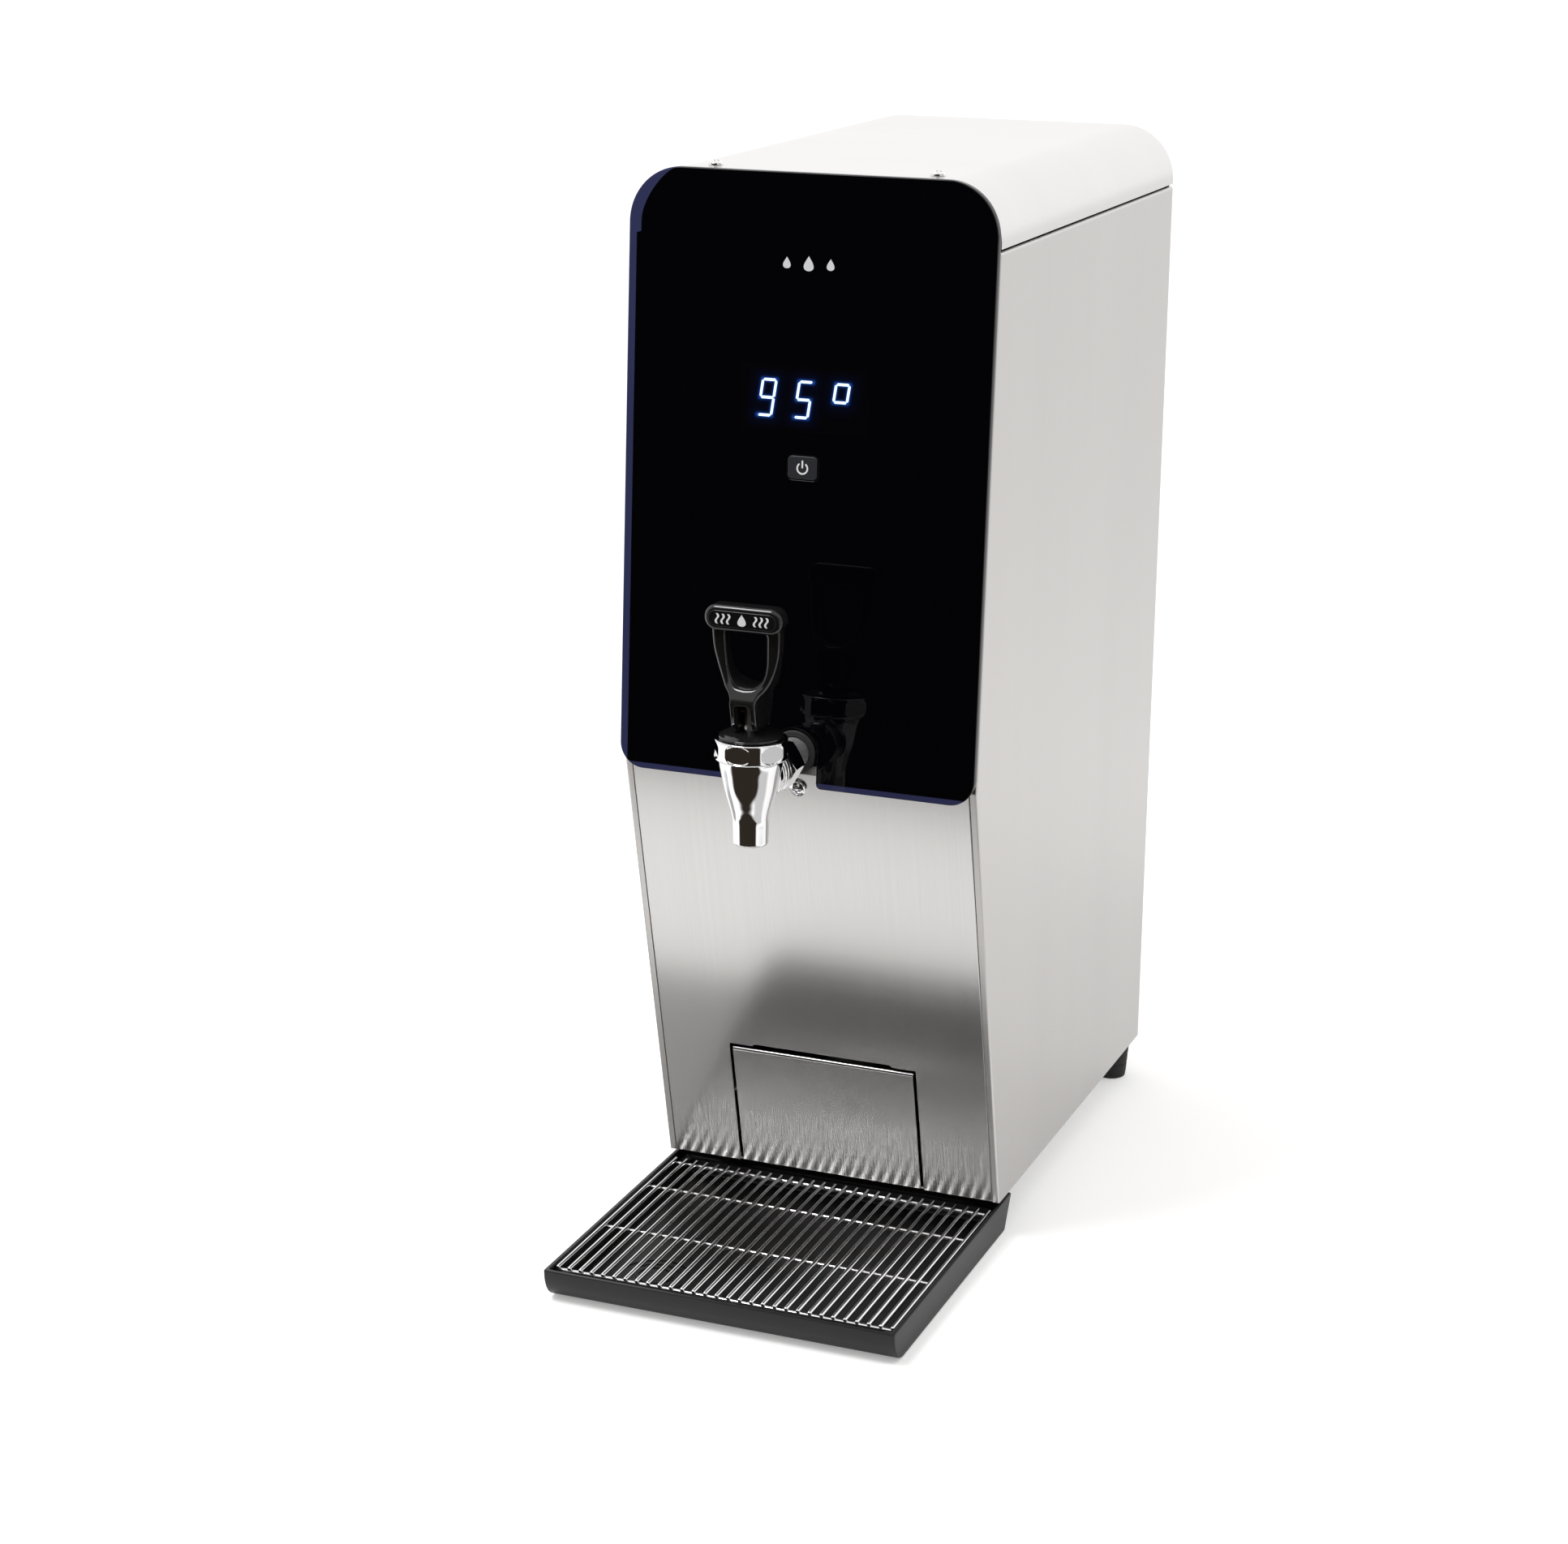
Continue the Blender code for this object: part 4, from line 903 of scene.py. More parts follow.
def fascia_mark():
    """Three plain drops in a row, the middle one larger."""
    shape = Shape()
    layers = eased_layers(GLASS_FRONT - 0.00006, GLASS_FRONT + 0.0001, 0.00004, 2, 0.00002)
    z = 0.5698
    for x, size in ((-0.0125, 0.0062), (0.0, 0.0080), (0.0125, 0.0062)):
        shape.slab(droplet((x, z), size * 0.78, size), layers, on_upper)
    piece("front_drops", shape, FINISHES["mark_grey"])


# ---------------------------------------------------------------- tap


def tap_body():
    """The cone is a turned profile from the collar's seat to the straight spout, with the side boss."""
    cone = smooth_run([(0.0150, 0.3190), (0.0170, 0.3180), (0.0172, 0.3150), (0.0159, 0.3080),
                       (0.0142, 0.2995),
                       (0.0123, 0.2925), (0.0109, 0.2875), (0.0101, 0.2835), (0.0099, 0.2790)], 6)
    tip = joined([(0.0097, SPOUT_Z + 0.0018)], arc((0.0085, SPOUT_Z + 0.0012), 0.0012, 0, -90, 5))
    bore = [(0.0070, SPOUT_Z), (0.0062, SPOUT_Z + 0.0008), (0.0062, 0.2920), (0.0095, 0.2920),
            (0.0120, 0.3120),
            (0.0128, 0.3258), (0.0148, 0.3258)]
    shape = Shape()
    shape.turned(joined(cone, tip, bore), (0, TAP_Y, 0), sides=96, ring=True)
    reach = np.linspace(0.0120, 0.0283, 60)
    ripple = 2.2 * np.sin(2 * math.pi * (reach - 0.0165) / 0.0031)
    ridges = 0.0124 + 0.0004 * np.clip(ripple, -1, 1) * (reach > 0.0165)
    boss = joined([(0.0, 0.0120)], np.stack([ridges, reach], -1),
                  [(0.0070, 0.0283), (0.0070, 0.0265), (0, 0.0265)])
    shape.turned(boss, (0, TAP_Y, SHANK_Z), BACK, 72)
    piece("tap_cone", shape, FINISHES["chrome"], stands_for=["tap_body"])


def tap_collar(facets):
    """A ring with oval flats round its outside. On a flat the radius is distance / cos(turn), a plane, and
    it blends into the ring over the rim of the oval, where 1 - (across / half width)^2 - (up / half height)^2
    runs from 0 to 0.2, with across measured round the ring."""
    bottom = low("tap_collar", 2)
    top = high("tap_collar", 2)
    radius = high("tap_collar", 0)
    middle = (bottom + top) / 2
    half_width, half_height = 0.0084, 0.0054
    distance = radius - 0.0014

    def flattened(angle, height, plain):
        turn = (angle + math.pi / facets) % (2 * math.pi / facets) - math.pi / facets
        level = 1 - (turn * radius / half_width) ** 2 - ((height - middle) / half_height) ** 2
        blend = np.clip(level / 0.2, 0, 1)
        blend = blend * blend * (3 - 2 * blend)
        flat = np.minimum(plain, distance / np.cos(turn))
        return np.where(plain > radius - 0.0010, plain + (flat - plain) * blend, plain)

    outer = joined(
        [(0.0154, bottom), (radius - 0.0016, bottom)],
        arc((radius - 0.0012, bottom + 0.0012), 0.0012, 290, 350, 5),
        np.stack([np.full(48, radius), np.linspace(bottom + 0.0013, top - 0.0011, 48)], -1),
        arc((radius - 0.0010, top - 0.0010), 0.0010, 10, 80, 5),
        [(radius - 0.0014, top), (0.0154, top)],
    )
    shape = Shape()
    shape.turned(outer, (0, TAP_Y, 0), sides=300, ring=True, reshape=flattened)
    piece("tap_ring", shape, FINISHES["chrome"], stands_for=["tap_collar"], crease=40)


def tap_bonnet():
    """The black cap inside the collar's rim: a low dome that falls to a rounded edge."""
    base = low("tap_bonnet", 2)
    top = high("tap_bonnet", 2)
    seat = high("tap_collar", 2)
    radius = high("tap_bonnet", 0) - 0.0008
    edge = 0.0007
    profile = joined(
        [(0.0040, base), (0.0116, base), (0.0120, 0.3264), (0.0150, seat + 0.0002),
         (radius - edge, seat + 0.0002)],
        arc((radius - edge, seat + 0.0002 + edge), edge, -60, 70, 7),
        smooth_run([(radius - 0.0016, seat + 0.0021), (0.0140, seat + 0.0030), (0.0100, seat + 0.0038),
                    (0.0060, top - 0.0003)], 4),
        [(0.0046, top - 0.0002), (0.0040, top - 0.0008)],
    )
    shape = Shape()
    shape.turned(profile, (0, TAP_Y, 0), sides=96, ring=True)
    piece("tap_cap", shape, FINISHES["handle_black"], stands_for=["tap_bonnet"],
          crease=40)


def tap_handle():
    """Two closed shapes in one piece. The lever's front outline, with its finger loop and the fork's slot, is
    carried from front to back, and its two faces follow the side profile. The grip is a rounded bar."""
    top = high("tap_handle", 2)
    foot = low("tap_handle", 2)
    grip_low = top - 0.0138
    toe = 0.0016
    limb = smooth_run([(-0.0076, 0.3500), (-0.0079, 0.3522), (-0.0096, 0.3550), (-0.0124, 0.3584),
                       (-0.0149, 0.3640),
                       (-0.0173, 0.3720), (-0.0188, 0.3800), (-0.0194, grip_low + 0.0030)], 5)
    left = joined(arc((-0.0027, 0.3471), 0.0015, 90, 180, 4),
                  arc((-0.0042 - toe, foot + toe), toe, 0, -180, 8), limb)
    outline = joined(left, (left * [-1, 1])[::-1])[::-1]
    inside = smooth_run([(-0.0120, grip_low - 0.0030), (-0.0117, 0.3780), (-0.0109, 0.3690),
                         (-0.0087, 0.3622),
                         (-0.0048, 0.3588), (0.0, 0.3580)], 5)
    loop_left = joined(arc((-0.0090, grip_low - 0.0030), 0.0030, 90, 170, 5), inside)
    loop = joined(loop_left, (loop_left * [-1, 1])[::-1][1:])[::-1]
    side = np.array([
        (foot, -0.0090, 0.0090), (0.3385, -0.0126, 0.0126), (0.3430, -0.0139, 0.0139),
        (0.3496, -0.0139, 0.0139),
        (0.3503, -0.0138, 0.0139), (0.3522, -0.0130, 0.0137), (0.3550, -0.0114, 0.0126),
        (0.3600, -0.0086, 0.0092),
        (0.3650, -0.0074, 0.0050), (0.3720, -0.0072, 0.0018), (0.3800, -0.0080, 0.0002),
        (grip_low + 0.003, -0.0088, 0.0)])

    def place(u, v, depth):
        nearer = np.interp(v, side[:, 0], side[:, 1])
        farther = np.interp(v, side[:, 0], side[:, 2])
        return np.stack([u, TAP_Y + nearer * (1 - depth) / 2 + farther * (1 + depth) / 2, v], -1)

    def softness(ring):
        return np.interp(ring[:, 1], [0.348, 0.354, 0.360], [0.36, 0.8, 1.0])

    ease = 0.0021
    turn = np.linspace(0, math.pi / 2, 6)
    inset = ease * (1 - np.sin(turn))
    depth = 0.36 * (1 - np.cos(turn))
    near = np.stack([inset, -1 + depth], -1)
    layers = joined([(ease + 0.0003, -1)], near, (near * [1, -1])[::-1], [(ease + 0.0003, 1)])
    shape = Shape()
    shape.slab(outline, layers, place, [loop], softness)
    grip = rounded_box(0.0220, grip_low, top, 0.0067, 0.0067, 12)
    shape.slab(grip, eased_layers(TAP_Y - 0.0129, TAP_Y - 0.0008, 0.0026, 6), upright)
    piece("lever", shape, FINISHES["handle_black"], "tap_handle", ["tap_handle"], crease=50)
    middle = (top + grip_low) / 2
    plate = rounded_box(0.0192, middle - 0.0043, middle + 0.0043, 0.0042, 0.0042, 10)
    shape = Shape()
    shape.slab(plate, eased_layers(TAP_Y - 0.0134, TAP_Y - 0.0120, 0.0003), upright)
    piece("lever_label", shape, FINISHES["label_black"], "tap_handle", ["tap_label_plate"])
    label_mark(middle)


def label_mark(middle):
    """A drop between two groups of rising steam lines; each line is a sine wave with a constant width."""
    shape = Shape()
    layers = eased_layers(TAP_Y - 0.01348, TAP_Y - 0.0133, 0.00006, 2, 0.00002)
    shape.slab(droplet((0, middle), 0.0052, 0.0064), layers, upright)
    rise = np.linspace(-0.0027, 0.0027, 16)
    for x in (-0.0140, -0.0108, -0.0076, 0.0076, 0.0108, 0.0140):
        wave = x + 0.0007 * np.sin(2 * math.pi * rise / 0.0054)
        right = np.stack([wave + 0.0006, middle + rise], -1)
        left = np.stack([wave - 0.0006, middle + rise], -1)[::-1]
        shape.slab(joined(right, left), layers, upright)
    piece("lever_label_mark", shape, FINISHES["mark_white"], "tap_handle")


def tap_shank():
    """The shank tube, its hexagonal coupling nut and the gasket in the slot of the glass."""
    at = (0, FRONT_Y, SHANK_Z)
    radius = high("tap_shank", 0)
    shape = Shape()
    shape.turned([(0.0060, -0.0375), (radius - 0.0004, -0.0375), (radius, -0.0371), (radius, 0.0448),
                  (radius - 0.0004, 0.0450), (0.0060, 0.0450)], at, BACK, 72, True)
    piece("shank_tube", shape, FINISHES["steel_dark"], stands_for=["tap_shank"])
    corner = max(high("tap_coupling_nut", 0), high("tap_coupling_nut", 2) - SHANK_Z)
    apothem = corner * math.cos(math.pi / 6)
    start, end = -0.0365, -0.0225

    def hexagon(angle, height, plain):
        turn = (angle + math.pi / 6) % (math.pi / 3) - math.pi / 6
        hexed = apothem / np.cos(turn)
        edge = np.minimum(height - start, end - height)
        chamfer = corner - 0.0016 + np.clip(edge, 0, 1) * 1.7
        return np.where(plain > 0.0112, np.minimum(hexed, chamfer), plain)

    along = np.concatenate([start + np.linspace(0, 0.0012, 8), end - np.linspace(0.0012, 0, 8)])
    ring = joined([(0.0108, start)], np.stack([np.full(16, corner), along], -1), [(0.0108, end)])
    shape = Shape()
    shape.turned(ring, at, BACK, 144, True, hexagon)
    piece("coupling_nut", shape, FINISHES["chrome"], stands_for=["tap_coupling_nut"],
          crease=25)
    outer = 0.0126
    gasket = joined([(0.0094, -0.0008)], [(0.0094, -0.0050)],
                    arc((outer - 0.0012, -0.0038), 0.0012, 270, 360, 5),
                    [(outer, -0.0008)])
    shape = Shape()
    shape.turned(gasket, at, BACK, 64, True)
    piece("slot_gasket", shape, FINISHES["rubber_black"], stands_for=["tap_gasket"])


# ---------------------------------------------------------------- tray, feet and fittings


def plan_ring(half, front, rear, radius, z, steps=5):
    """A rounded rectangle in plan at one height."""
    radius = max(radius, 0.0002)
    flat = joined(
        arc((half - radius, front + radius), radius, 270, 360, steps),
        arc((half - radius, rear - radius), radius, 0, 90, steps),
        arc((-half + radius, rear - radius), radius, 90, 180, steps),
        arc((-half + radius, front + radius), radius, 180, 270, steps),
    )
    return np.concatenate([flat, np.full((len(flat), 1), z)], 1)


def drip_tray():
    """Rounded rectangles one above another: up the outside, whose nose is a quarter ellipse and whose
    rear slopes, over the thin rim and down inside to the ledge and the floor of the well."""
    nose, rise, slope = 0.0140, 0.0180, 0.0110
    turn = np.linspace(math.pi / 2, 0, 16)
    heights = TRAY_TOP - 0.0010 - rise * np.sin(turn)
    fronts = TRAY_FRONT + nose * (1 - np.cos(turn))
    share = (heights - TRAY_LOW) / (TRAY_TOP - TRAY_LOW)
    rears = TRAY_REAR - slope * (1 - share)
    rings = [plan_ring(TRAY_HALF - 0.0006, fronts[0] + 0.0006, rears[0] - 0.0006, 0.001, TRAY_LOW)]
    rings += [plan_ring(TRAY_HALF, f, r, 0.0014, z) for f, r, z in zip(fronts, rears, heights)]
    front, rear = TRAY_FRONT, TRAY_REAR
    for inset, z, radius in ((0.0000, TRAY_TOP - 0.0005, 0.0014), (0.0002, TRAY_TOP - 0.0001, 0.0013),
                             (0.0006, TRAY_TOP, 0.0011), (0.0020, TRAY_TOP, 0.0010),
                             (0.0024, TRAY_TOP - 0.0002, 0.0010), (0.0026, TRAY_TOP - 0.0006, 0.0010)):
        rings.append(plan_ring(TRAY_HALF - inset, front + inset, rear - inset - 0.0003, radius, z))
    ledge, floor = 0.0136, 0.0042
    for inset, z in ((0.0027, ledge + 0.0005), (0.0031, ledge), (0.0080, ledge), (0.0084, ledge - 0.0004),
                     (0.0088, floor + 0.0012), (0.0094, floor + 0.0003), (0.0104, floor)):
        rings.append(plan_ring(TRAY_HALF - inset, front + inset - 0.0010, rear - inset - 0.0050, 0.0020, z))
    shape = Shape()
    shape.grid(np.stack(rings))
    for radius in (0.0100, 0.0150, 0.0200):
        ring = [(radius - 0.0008, 0.0), (radius - 0.0006, 0.0005), (radius + 0.0006, 0.0005),
                (radius + 0.0008, 0.0)]
        shape.turned(ring, (-0.058, TRAY_FRONT + 0.048, floor - 0.0001), sides=64, ring=True)
    piece("drip_tray_shell", shape, FINISHES["tray_black"], "drip_tray", ["drip_tray"],
          crease=45)


def drip_grille(count):
    """Straight round wires with domed ends, resting on four cross wires that they are welded to."""
    corner_low, corner_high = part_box("drip_grille")
    wire = 0.0012
    bar_half = corner_high[0] - 0.0008
    top = high("drip_grille", 2) - wire
    shape = Shape()

    def capsule(start, direction, length):
        turn = np.linspace(0, math.pi / 2, 4)
        near = np.stack([wire * np.sin(turn), 0.6 * wire * (1 - np.cos(turn))], -1)
        far = np.stack([wire * np.sin(turn), length - 0.6 * wire * (1 - np.cos(turn))], -1)[::-1]
        shape.turned(joined(near, far), start, direction, 12)

    front, rear = corner_low[1], corner_high[1]
    for x in np.linspace(-bar_half, bar_half, count):
        capsule((x, front, top), BACK, rear - front)
    reach = corner_high[0]
    for offset in GRILLE_CROSS:
        capsule((-reach, FRONT_Y + offset, top - 1.6 * wire), RIGHT, 2 * reach)
    piece("grille_wires", shape, FINISHES["wire_chrome"], "drip_grille", ["drip_grille"])


def feet():
    """Turned rubber feet: a soft lower edge, two shallow grooves and a collar under the base."""
    for name in ("foot_front_left", "foot_front_right", "foot_rear_left", "foot_rear_right"):
        corner_low, corner_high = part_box(name)
        centre = ((corner_low[0] + corner_high[0]) / 2, (corner_low[1] + corner_high[1]) / 2, 0)
        top = UNDERSIDE - 0.0003
        profile = joined(
            [(0, 0.0004), (0.0050, 0.0004), (0.0056, 0)],
            arc((0.0084, 0.0012), 0.0012, 270, 350, 5),
            smooth_run([(0.0100, 0.0040), (0.0104, 0.0090), (0.0101, 0.0098), (0.0105, 0.0106),
                        (0.0108, 0.0150),
                        (0.0105, 0.0158), (0.0110, 0.0166), (0.0114, top - 0.0012)], 4),
            [(0.0112, top), (0.0030, top), (0.0030, top + 0.0090), (0, top + 0.0090)],
        )
        shape = Shape()
        shape.turned(profile, centre, sides=64)
        piece(name + "_pad", shape, FINISHES["rubber_black"], stands_for=[name])


def inlet_fitting():
    """A brass stub with a thread: its radius follows a triangle wave of length and turn."""
    corner_low, corner_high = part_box("water_inlet_fitting")
    centre = ((corner_low[0] + corner_high[0]) / 2, BACK_Y, (corner_low[2] + corner_high[2]) / 2)
    radius = (corner_high[0] - corner_low[0]) / 2
    pitch = 0.0018

    def thread(angle, height, plain):
        phase = (height / pitch - angle / (2 * math.pi)) % 1
        tooth = np.abs(phase * 2 - 1) * 0.0008
        fade = np.clip((height - 0.0010) / 0.0010, 0, 1) * np.clip((0.0160 - height) / 0.0010, 0, 1)
        return np.where(plain > 0.0125, plain - tooth * fade, plain)

    along = np.linspace(0.0004, 0.0166, 110)
    profile = joined([(0.0070, -0.0350), (0.0105, -0.0350), (0.0105, -0.0120), (radius, -0.0100),
                      (radius, 0.0)],
                     np.stack([np.full(110, radius), along], -1),
                     [(radius - 0.0006, 0.0170), (0.0078, 0.0170), (0.0070, 0.0162)])
    shape = Shape()
    shape.turned(profile, centre, BACK, 72, True, thread)
    piece("inlet_thread", shape, FINISHES["brass"], stands_for=["water_inlet_fitting"])


def mains_gland():
    """The gland's nut has grip ribs: its radius waves with the angle. A dome behind narrows to the bore."""
    corner_low, corner_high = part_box("mains_gland")
    centre = ((corner_low[0] + corner_high[0]) / 2, BACK_Y, (corner_low[2] + corner_high[2]) / 2)

    def ribs(angle, height, plain):
        wave = 0.0004 * (0.5 + 0.5 * np.cos(18 * angle)) ** 2
        return np.where((plain > 0.0115) & (height > 0), plain - 0.0004 + wave, plain)

    profile = joined([(0.0040, -0.0120), (0.0080, -0.0120), (0.0080, -0.0012), (0.0118, -0.0012),
                      (0.0120, -0.0008)],
                     np.stack([np.full(8, 0.0120), np.linspace(0.0004, 0.0060, 8)], -1),
                     smooth_run([(0.0112, 0.0068), (0.0102, 0.0100), (0.0088, 0.0134), (0.0066, 0.0156)], 5),
                     [(0.0050, 0.0160), (0.0040, 0.0152)])
    shape = Shape()
    shape.turned(profile, centre, BACK, 108, True, ribs)
    piece("gland_nut", shape, FINISHES["plastic_black"], stands_for=["mains_gland"])


def inner_parts():
    """The frame's own solids that stay shown take the finish of their slot."""
    slots = {row["node"]: row["material_slot"] for row in frame["record"]["subparts"]}
    for name, obj in frame["nodes"].items():
        finish = "front_steel" if name == "rear_panel" else slots[name]
        obj.data.materials.clear()
        obj.data.materials.append(FINISHES[finish])


# ---------------------------------------------------------------- studio


def studio_world(stage):
    """Soft light all round, but dark level ahead of the machine, so that the glass stays black."""
    world = bpy.data.worlds.new("studio")
    world.use_nodes = True
    bpy.context.scene.world = world
    tree = Tree(world.node_tree)
    direction = tree.node("ShaderNodeTexCoord", output="Generated")
    ahead = tree.node("ShaderNodeSeparateXYZ", {}, {"Vector": direction}, 1)
    up = tree.node("ShaderNodeSeparateXYZ", {}, {"Vector": direction}, 2)
    from_front = 1 - ahead.step(-0.74, -0.56)
    overhead = up.step(0.45, 0.65)
    dark = from_front * (1 - overhead)
    behind = ahead.step(0.2, 0.9)
    around = tree.mix(behind, stage.light_color, stage.back_color)
    aside = tree.node("ShaderNodeSeparateXYZ", {}, {"Vector": direction}, 0).step(0.80, 0.86)
    around = tree.mix(aside * (1 - overhead), around, shaded(stage.light_color, 0.62))
    light = tree.mix(dark, around, stage.front_color)
    seen = tree.node("ShaderNodeLightPath", output="Is Camera Ray")
    shown = tree.mix(seen, light, (1.0, 1.0, 1.0))
    background = world.node_tree.nodes["Background"]
    world.node_tree.links.new(shown.socket, background.inputs["Color"])
    background.inputs["Strength"].default_value = stage.world_strength


def floor(stage):
    """A wide pale floor that glows a little. What the machine reflects of it is painted: dark far ahead,
    with painted shade at the left of the tray and greyer painted shade at the right."""
    reach = 14.0
    rim = arc((0, 0), reach, 0, 360, 96)[:-1]
    mesh = bpy.data.meshes.new("floor")
    mesh.from_pydata([(x, y, 0.0) for x, y in rim], [], [list(range(len(rim)))])
    material = bpy.data.materials.new("floor")
    material.use_nodes = True
    tree = Tree(material.node_tree)
    material.node_tree.nodes.remove(material.node_tree.nodes["Principled BSDF"])
    place = tree.node("ShaderNodeTexCoord", output="Object")
    x = tree.node("ShaderNodeSeparateXYZ", {}, {"Vector": place}, 0)
    y = tree.node("ShaderNodeSeparateXYZ", {}, {"Vector": place}, 1)
    seen = tree.node("ShaderNodeLightPath", output="Is Camera Ray")
    # Painted reflection: for rays other than the camera's, the floor is dark far ahead.
    near = y.step(-0.46, -0.40)
    beside = (x.absolute() + y).step(-0.10, 0.10)
    mottle = tree.noise(place, 3.0)
    pale = tree.mix(mottle, stage.floor_color, shaded(stage.floor_color, 0.99))
    # Painted shade seen only in reflections: a dim patch at the left of the tray and greyer patches at the right.
    dim = (1 - x.step(-0.12, -0.10)) * x.step(-0.70, -0.50)
    dim = dim * y.step(-0.245, -0.225) * (1 - y.step(-0.02, 0.02))
    greyer = x.step(0.14, 0.22) * (1 - x.step(0.45, 0.60)) * (1 - y.step(-0.22, -0.12))
    far_right = x.step(0.70, 0.90) * y.step(-0.70, -0.50) * (1 - y.step(0.45, 0.60))
    greyer = greyer.at_least(far_right)
    lit = near.at_least(beside) * (1 - dim * 0.65) * (1 - greyer * 0.45)
    color = tree.mix(lit.at_least(seen), stage.front_color, pale)
    matte = tree.node("ShaderNodeBsdfDiffuse", {}, {"Color": color})
    glow = tree.node("ShaderNodeEmission", {}, {"Color": color, "Strength": stage.floor_glow + seen * 0.22})
    both = tree.node("ShaderNodeAddShader", {}, {0: matte, 1: glow})
    output = material.node_tree.nodes["Material Output"]
    material.node_tree.links.new(both.socket, output.inputs["Surface"])
    mesh.materials.append(material)
    obj = bpy.data.objects.new("floor", mesh)
    bpy.context.scene.collection.objects.link(obj)


def soft_lamp(name, location, target, size, power):
    lamp = bpy.data.lights.new(name, "AREA")
    lamp.shape = "DISK"
    lamp.size = size
    lamp.energy = power
    obj = bpy.data.objects.new(name, lamp)
    obj.location = location
    heading = Vector(target) - Vector(location)
    obj.rotation_euler = heading.to_track_quat("-Z", "Y").to_euler()
    bpy.context.scene.collection.objects.link(obj)


def camera(stage):
    """Stands to the right of the front, looking down a little."""
    lens = bpy.data.cameras.new("camera")
    lens.lens = stage.focal_length
    lens.sensor_width = 36.0
    lens.shift_x = 0.00155
    lens.shift_y = 0.0277
    lens.clip_start = 0.05
    lens.clip_end = 60.0
    obj = bpy.data.objects.new("camera", lens)
    right = (0.92715, 0.37465, 0.00543)
    down = (0.11742, -0.27676, -0.95374)
    forward = (-0.35582, 0.88490, -0.30059)
    turn = Matrix((right, [-d for d in down], [-f for f in forward])).transposed()
    obj.matrix_world = Matrix.Translation(stage.camera_location) @ turn.to_4x4()
    bpy.context.scene.collection.objects.link(obj)
    bpy.context.scene.camera = obj


# ---------------------------------------------------------------- settings


class DispenserLooks(bpy.types.PropertyGroup):
    """Colours and finish values of the machine."""

    steel_color: FloatVectorProperty(
        name="Steel", description="Colour of the brushed sheet",
        subtype="COLOR", default=(0.72, 0.71, 0.70), min=0, max=1)
    steel_roughness: FloatProperty(
        name="Side roughness", description="How dull the sides and lid are",
        subtype="FACTOR", default=0.34, min=0, max=1)
    side_color: FloatVectorProperty(
        name="Side steel", description="Colour of the side panels",
        subtype="COLOR", default=(0.600, 0.584, 0.573), min=0, max=1)
    front_color: FloatVectorProperty(
        name="Front steel", description="Colour of the lower front",
        subtype="COLOR", default=(0.60, 0.59, 0.58), min=0, max=1)
    front_roughness: FloatProperty(
        name="Front roughness", description="How dull the lower front is",
        subtype="FACTOR", default=0.20, min=0, max=1)
    front_grain_depth: FloatProperty(
        name="Front grain", description="Depth of the front's brushing",
        unit="LENGTH", default=0.000004, min=0, precision=6)
    grain_depth: FloatProperty(
        name="Grain depth", description="Depth of the brushing",
        unit="LENGTH", default=0.000008, min=0, precision=6)
    chrome_color: FloatVectorProperty(
        name="Chrome", description="Colour of the plated parts",
        subtype="COLOR", default=(0.86, 0.86, 0.87), min=0, max=1)
    bare_color: FloatVectorProperty(
        name="Bare steel", description="Colour of the turned parts",
        subtype="COLOR", default=(0.74, 0.74, 0.75), min=0, max=1)
    glass_color: FloatVectorProperty(
        name="Glass", description="Colour of the painted glass",
        subtype="COLOR", default=(0.0012, 0.0012, 0.0020), min=0, max=1)
    # Colour of the painted light along the glass's left and lower edges.
    edge_light_color: FloatVectorProperty(
        name="Glass edge", description="Tint along the edge of the glass",
        subtype="COLOR", default=(0.040, 0.045, 0.120), min=0, max=1)
    # Width of the painted light along the glass's edges.
    edge_light_width: FloatProperty(
        name="Glass margin", description="Width of the tinted edge",
        unit="LENGTH", default=0.0052, min=0, max=0.02)
    tray_color: FloatVectorProperty(
        name="Tray", description="Colour of the moulded tray",
        subtype="COLOR", default=(0.016, 0.016, 0.017), min=0, max=1)
    display_color: FloatVectorProperty(
        name="Display", description="Colour of the lit segments",
        subtype="COLOR", default=(0.62, 0.82, 1.0), min=0, max=1)
    # Colour of the painted glow round the segments.
    haze_color: FloatVectorProperty(
        name="Haze", description="Colour of the light round the segments",
        subtype="COLOR", default=(0.02, 0.10, 0.55), min=0, max=1)
    display_strength: FloatProperty(
        name="Display strength", description="Brightness of the segments",
        default=1.6, min=0, max=20)
    facets: IntProperty(name="Collar facets", description="Oval facets round the collar", default=6, min=3,
                        max=12)
    wires: IntProperty(name="Grille wires", description="Wires from front to back", default=30, min=2, max=60)


